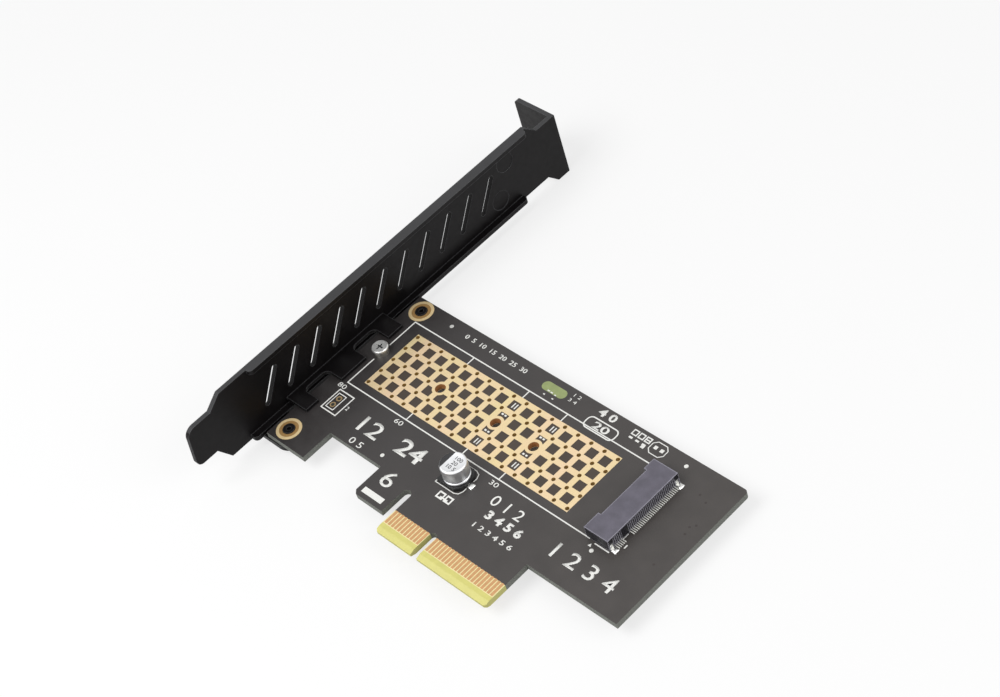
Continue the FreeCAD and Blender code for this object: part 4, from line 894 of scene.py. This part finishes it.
# The solder side's print, drawn with X reversed: a rim round a piece, and numbers as above.
PIECE_RIM = 0.4
SOLDER_SIDE_NUMBERS = (
    ("2  4  6", (-34.0, 17.6), 3.2, 1.2, 0.04),
    ("10  20  30", (-8.0, 16.6), 2.0, 1.2, 0.03),
)
RULES = (FIELD_LOW.y - 3.6, FIELD_HIGH.y + 1.4)
RULE_END = 8.0
PIECE_NUMBER_DROP = 1.6
SOLDER_LENGTH_DROP = 2.0
SOLDER_LENGTH_FORM = (1.3, 1.3)


def print_solder_side(ink):
    """Outlines of the lamp and its resistor, the screw lengths, two rules and plain numbers."""
    for low, high, text in ((LAMP_LOW, LAMP_HIGH, "1"), (RESISTOR_LOW, RESISTOR_HIGH, "2")):
        left, right = -high.x - PIECE_RIM, -low.x + PIECE_RIM
        ink.box(left, right, low.y - PIECE_RIM, high.y + PIECE_RIM)
        ink.number(text, ((left + right) / 2, low.y - PIECE_NUMBER_DROP), SMALL_NUMBER)
    for step, (text, _) in zip((0.0,) + SHORT_STEPS, LENGTHS):
        middle = (-(LONG_X + step), FIELD_LOW.y - SOLDER_LENGTH_DROP)
        ink.number(text, middle, *SOLDER_LENGTH_FORM)
    for y in RULES:
        ink.line((-BOARD_HIGH.x + RULE_END, y), (-LONG_X, y), THIN_LINE)
    for mark in SOLDER_SIDE_NUMBERS:
        ink.number(*mark)


def make_print():
    """The white print on both sides of the board."""
    white = print_material()
    level = BOARD_TOP + PRINT_LIFT
    ink = Print()
    for draw in (
        print_module_frame,
        print_field_marks,
        print_header_box,
        print_numbers,
        print_lamp_marks,
        print_capacitor_outline,
        print_socket_marks,
    ):
        draw(ink)
    ink.finish("white_print_marks", level, white)
    ink = Print()
    print_solder_side(ink)
    ink.finish("solder_side_marks", level, white, turned=True)


def lathe(name, profile, sides, material):
    """A turned piece: a profile of (radius, height) round an upright axis at the can."""
    shape = bmesh.new()
    rings = []
    for radius, height in profile:
        ring = []
        for step in range(sides):
            turn = 2 * math.pi * step / sides
            x = CAN_MIDDLE.x + radius * math.cos(turn)
            y = CAN_MIDDLE.y + radius * math.sin(turn)
            ring.append(shape.verts.new((x * MM, y * MM, height * MM)))
        rings.append(ring)
    for low, high in zip(rings, rings[1:]):
        for step in range(sides):
            after = (step + 1) % sides
            shape.faces.new((low[step], low[after], high[after], high[step]))
    shape.faces.new(rings[0][::-1])
    shape.faces.new(rings[-1])
    mesh = bpy.data.meshes.new(name)
    shape.to_mesh(mesh)
    shape.free()
    for face in mesh.polygons:
        face.use_smooth = len(face.vertices) == 4
    return add_piece(name, mesh, material)


# The can's crimped neck, round rim and dished top, and what is printed on it.
CAN_NECK_LEVEL = 0.75
CAN_NECK_DEPTH = 0.25
CAN_RIM = 0.45
CAN_RIM_WIDTH = 0.12
CAN_DISH = 0.05
CAN_CENTRE = 0.2
CAN_SIDES = 96
CURVE_STEPS = 8
NECK_STEPS = 12
CAN_SEGMENT = 1.45
CAN_PRINT_RADIUS = 3.2
CAN_PRINT_LIFT = 0.003
CAN_NUMBERS = (("100", 1.3), ("20", 0.0), ("10 5", -1.3))
CAN_NUMBER_SHIFT = 0.6
CAN_NUMBER_FORM = (0.95, 1.15, 0.02)


def can_profile():
    """The can's outline: rolled foot, crimped neck, straight wall and round rim."""
    radius = (CAN_HIGH.x - CAN_LOW.x) / 2
    foot = CAN_LOW.z
    top = CAN_HIGH.z
    neck = foot + CAN_NECK_LEVEL
    profile = [(radius - CAN_NECK_DEPTH, foot)]
    for step in range(1, CURVE_STEPS + 1):
        turn = math.pi / 2 * step / CURVE_STEPS
        drop = CAN_NECK_DEPTH * (1 - math.sin(turn))
        profile.append((radius - drop, foot + CAN_NECK_DEPTH * (1 - math.cos(turn))))
    for step in range(NECK_STEPS + 1):
        share = step / NECK_STEPS
        dip = CAN_NECK_DEPTH * math.sin(math.pi * share) ** 2
        profile.append((radius - dip, neck + CAN_NECK_DEPTH * (2 * share - 1)))
    for step in range(CURVE_STEPS + 1):
        turn = math.pi / 2 * step / CURVE_STEPS
        inward = CAN_RIM * (1 - math.cos(turn))
        profile.append((radius - inward, top - CAN_RIM + CAN_RIM * math.sin(turn)))
    profile.append((radius - CAN_RIM - CAN_RIM_WIDTH, top - CAN_DISH))
    profile.append((CAN_CENTRE, top - CAN_DISH))
    return profile


def can_material():
    """Drawn aluminium, brushed on the wall, with a black segment printed on top."""
    skin = Surface("can_skin", metallic=1.0)
    x, y, z = skin.axes(skin.position)
    top = skin.math("GREATER_THAN", z, (CAN_HIGH.z - 2 * CAN_DISH) * MM)
    segment = skin.math("LESS_THAN", x, (CAN_MIDDLE.x - CAN_SEGMENT) * MM)
    inside = within(skin, x, y, CAN_MIDDLE, CAN_PRINT_RADIUS)
    printed = skin.math("MULTIPLY", skin.math("MULTIPLY", top, inside), segment)
    silver = varied(skin, srgb(226, 227, 229), 1.5, 0.05)
    skin.colour(skin.mix(printed, silver, srgb(34, 34, 36)))
    skin.put(skin.shader.inputs["Metallic"], skin.math("SUBTRACT", 1.0, printed))
    rings = skin.noise(0.35, 3.0, skin.stretched((0.1, 0.1, 3.0)))
    skin.roughness(skin.spread(rings, 0.36, 0.48))
    skin.relief(rings, 0.002)
    return skin.material


def make_can():
    """The drawn can and the plain numbers printed on it."""
    can = lathe("capacitor_can_drawn", can_profile(), CAN_SIDES, can_material())
    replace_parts(can, "capacitor_can")
    ink = Print()
    for text, dy in CAN_NUMBERS:
        middle = (CAN_MIDDLE.x + CAN_NUMBER_SHIFT, CAN_MIDDLE.y + dy)
        ink.number(text, middle, *CAN_NUMBER_FORM)
    grey = plastic("can_print", srgb(96, 96, 98), 0.5, 0.2, 0.002, 0.0)
    level = CAN_HIGH.z - CAN_DISH + CAN_PRINT_LIFT
    ink.finish("capacitor_numbers", level, grey)


def turn_base():
    """The capacitor's base, with its cut corners on the side of the plus lead."""
    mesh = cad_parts["capacitor_base"].data.copy()
    middle = Matrix.Translation((CAN_MIDDLE.x * MM, CAN_MIDDLE.y * MM, 0))
    mesh.transform(middle @ Matrix.Rotation(math.pi, 4, "Z") @ middle.inverted())
    black = plastic("base_skin", srgb(16, 16, 17), 0.4, 0.1, 0.004, 0.05)
    base = add_piece("capacitor_base_moulded", mesh, black)
    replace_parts(base, "capacitor_base")


# Mounds of solder: from the can's middle to a lead's ends, and round a clip's foot.
SOLDER_STEPS = 10
SOLDER_LIFT = 0.01
LEAD_ENDS = (3.35, 4.75)
LEAD_HALF = 0.75
LEAD_RISE = 0.28
CLIP_SIDE = 10.2
CLIP_ENDS = (-0.25, 1.35)
CLIP_HALF = 0.7
CLIP_RISE = 0.3


def solder_joint(shape, left, right, low, high, rise):
    """A low mound of solder on a rectangle of the board's component side."""
    turns = [math.pi * step / SOLDER_STEPS for step in range(SOLDER_STEPS + 1)]
    swell = [max(0.0, math.sin(turn)) ** 0.5 for turn in turns]
    rows = []
    for i, across in enumerate(swell):
        row = []
        for j, along in enumerate(swell):
            x = left + (right - left) * i / SOLDER_STEPS
            y = low + (high - low) * j / SOLDER_STEPS
            z = BOARD_TOP + SOLDER_LIFT + rise * across * along
            row.append(shape.verts.new((x * MM, y * MM, z * MM)))
        rows.append(row)
    for near, far in zip(rows, rows[1:]):
        for j in range(SOLDER_STEPS):
            shape.faces.new((near[j], far[j], far[j + 1], near[j + 1]))


def make_solder():
    """Solder on the capacitor's leads and the socket's clips."""
    shape = bmesh.new()
    x, y = CAN_MIDDLE.x, CAN_MIDDLE.y
    for side in (-1, 1):
        left, right = sorted(x + side * end for end in LEAD_ENDS)
        solder_joint(shape, left, right, y - LEAD_HALF, y + LEAD_HALF, LEAD_RISE)
    left, right = [SOCKET_HIGH.x + end for end in CLIP_ENDS]
    for side in (-1, 1):
        middle = MODULE_Y + side * CLIP_SIDE
        solder_joint(shape, left, right, middle - CLIP_HALF, middle + CLIP_HALF, CLIP_RISE)
    mesh = bpy.data.meshes.new("solder")
    shape.to_mesh(mesh)
    shape.free()
    for face in mesh.polygons:
        face.use_smooth = True
    tin = metal("solder_tin", srgb(214, 214, 212), 0.34, 0.5, 0.01, 0.0)
    add_piece("solder_joints", mesh, tin)


# The stage: floor, white backdrop and lamps, in metres, and the fade of the floor's white.
FLOOR_HALF = 3.0
FLOOR_DROP = 0.02
FLOOR_COLOUR = (0.82, 0.82, 0.82, 1.0)
FLOOR_ROUGHNESS = 0.9
FLOOR_GLOW = 0.72
GLOW_INSET = 5.0
GLOW_FADE = 6.0
WORLD_LIGHT = 0.45
WHITE = (1.0, 1.0, 1.0, 1.0)
LAMPS = (
    ("key_lamp", (-0.12, -0.28, 0.5), 0.35, 2.6),
    ("fill_lamp", (0.45, 0.2, 0.35), 0.4, 1.1),
)


def make_floor():
    """A pale floor that shows white and keeps the card's shadow, with no underside."""
    mesh = bpy.data.meshes.new("floor")
    level = cad_box[0][2] - FLOOR_DROP * MM
    ways = ((-1, -1), (1, -1), (1, 1), (-1, 1))
    corners = [(x * FLOOR_HALF, y * FLOOR_HALF, level) for x, y in ways]
    mesh.from_pydata(corners, [], [(0, 1, 2, 3)])
    floor = add_object("floor", mesh)
    mesh.materials.append(floor_material())


def floor_material():
    """Matt white, partly its own light, and clear from below."""
    skin = Surface("pale_floor", roughness=FLOOR_ROUGHNESS)
    skin.colour(FLOOR_COLOUR)
    glow = skin.nodes.new("ShaderNodeEmission")
    nothing = skin.nodes.new("ShaderNodeBsdfTransparent")
    lit = skin.blend(floor_glow(skin), skin.shader.outputs[0], glow.outputs[0])
    seen = skin.blend(skin.behind, lit, nothing.outputs[0])
    skin.put(skin.nodes["Material Output"].inputs["Surface"], seen)
    return skin.material


def clear_of_card(skin):
    """1 on open floor, fading to 0 under the board."""
    x, y = skin.axes(skin.position)[:2]
    sides = []
    for across, low, high in ((x, BOARD_LOW.x, BOARD_HIGH.x), (y, BOARD_BODY_LOW, BOARD_HIGH.y)):
        away = skin.math("ABSOLUTE", skin.math("SUBTRACT", across, (low + high) / 2 * MM))
        half = (high - low) / 2 - GLOW_INSET
        sides.append(skin.ramp(away, (half - GLOW_FADE) * MM, half * MM))
    return skin.math("MAXIMUM", *sides)


def floor_glow(skin):
    """How much of the floor is its own white: for the camera, none of it under the board."""
    camera, mirrored = skin.ray_kinds()
    direct = skin.math("MULTIPLY", camera, clear_of_card(skin))
    return skin.math("MULTIPLY", skin.math("MAXIMUM", direct, mirrored), FLOOR_GLOW)


def make_world():
    """A white studio: soft even light, and white where it is seen or mirrored."""
    world = bpy.data.worlds.new("studio")
    bpy.context.scene.world = world
    tree = Tree(world)
    light = tree.nodes["Background"]
    light.inputs["Strength"].default_value = WORLD_LIGHT
    seen = tree.nodes.new("ShaderNodeBackground")
    for background in (light, seen):
        background.inputs["Color"].default_value = WHITE
    shown = tree.math("MAXIMUM", *tree.ray_kinds())
    studio = tree.blend(shown, light.outputs[0], seen.outputs[0])
    tree.put(tree.nodes["World Output"].inputs["Surface"], studio)


def add_lamp(name, place, size, power):
    """A soft square lamp that faces the card."""
    data = bpy.data.lights.new(name, "AREA")
    data.size = size
    data.energy = power
    lamp = add_object(name, data)
    lamp.location = place
    lamp.rotation_euler = (-Vector(place)).to_track_quat("-Z", "Y").to_euler()


# The photograph's point of view: place in millimetres, turn in degrees.
CAMERA_PLACE = (281.57, -133.589, 367.866)
CAMERA_TURN = (42.8036, 13.1511, 44.9827)
CAMERA_LENS = 81.675
CAMERA_SENSOR = 36.0
CAMERA_NEAR = 0.01
CAMERA_FAR = 20.0


def make_camera():
    """The photograph's point of view."""
    data = bpy.data.cameras.new("camera")
    data.lens = CAMERA_LENS
    data.sensor_width = CAMERA_SENSOR
    data.clip_start = CAMERA_NEAR
    data.clip_end = CAMERA_FAR
    camera = add_object("camera", data)
    camera.location = Vector(CAMERA_PLACE) * MM
    camera.rotation_euler = Euler([math.radians(turn) for turn in CAMERA_TURN])
    bpy.context.scene.camera = camera


# Grain drawn out along the contacts.
BRUSHED = (3.0, 0.25, 1.0)


def finish_cad_nodes():
    """Detailed materials on the CAD nodes that keep their shape."""
    gold = srgb(203, 157, 111)
    fingers = metal("finger_gold", gold, 0.38, 0.15, 0.003, stretch=BRUSHED, share=0.8)
    rings = metal("ring_gold", srgb(236, 214, 168), 0.55, 0.3, 0.004, share=0.55)
    header = metal("header_gold", srgb(168, 144, 106), 0.5, 0.3, 0.004, share=0.55)
    tin = metal("bright_tin", srgb(226, 226, 222), 0.42, 0.18, 0.004, 0.03)
    seat = metal("seat_tin", srgb(206, 204, 196), 0.32, 0.2, 0.005, 0.05)
    for material, names in (
        (bracket_material(), ["bracket"]),
        (socket_material(), ["m2_socket_housing"]),
        (fingers, ["edge_contacts_top", "edge_contacts_bottom"]),
        (rings, ["screw_hole_rings"]),
        (pin_ring_material(), ["pin_hole_rings"]),
        (header, ["header_hole_rings"]),
        (contact_material(), ["m2_socket_upper_contacts", "m2_socket_lower_contacts"]),
        (tin, ["camera_target_dots", "bare_solder_pads", "m2_socket_clips", "capacitor_leads"]),
        (seat, ["m2_screw_seat"]),
        (screw_material(), ["m2_screw"]),
        (lamp_material(), ["status_lamp"]),
        (resistor_material(), ["lamp_resistor"]),
    ):
        for name in names:
            finish_node(name, material)


def drill_board_and_copper():
    """Real heat holes through the copper field and the board, with plated walls."""
    wall = metal("heat_hole_plating", srgb(176, 142, 74), 0.5, 0.2, 0.004, 0.0, share=0.4)
    bits = drill_bits(wall)
    drill("circuit_board", "board_with_heat_holes", bits, board_material())
    drill("heat_spread_copper", "copper_with_heat_holes", bits, field_material())
    bpy.data.objects.remove(bits)


finish_cad_nodes()
drill_board_and_copper()
make_print()
make_can()
turn_base()
make_solder()
make_floor()
make_world()
for lamp in LAMPS:
    add_lamp(*lamp)
make_camera()
bpy.context.scene.view_settings.view_transform = "Standard"
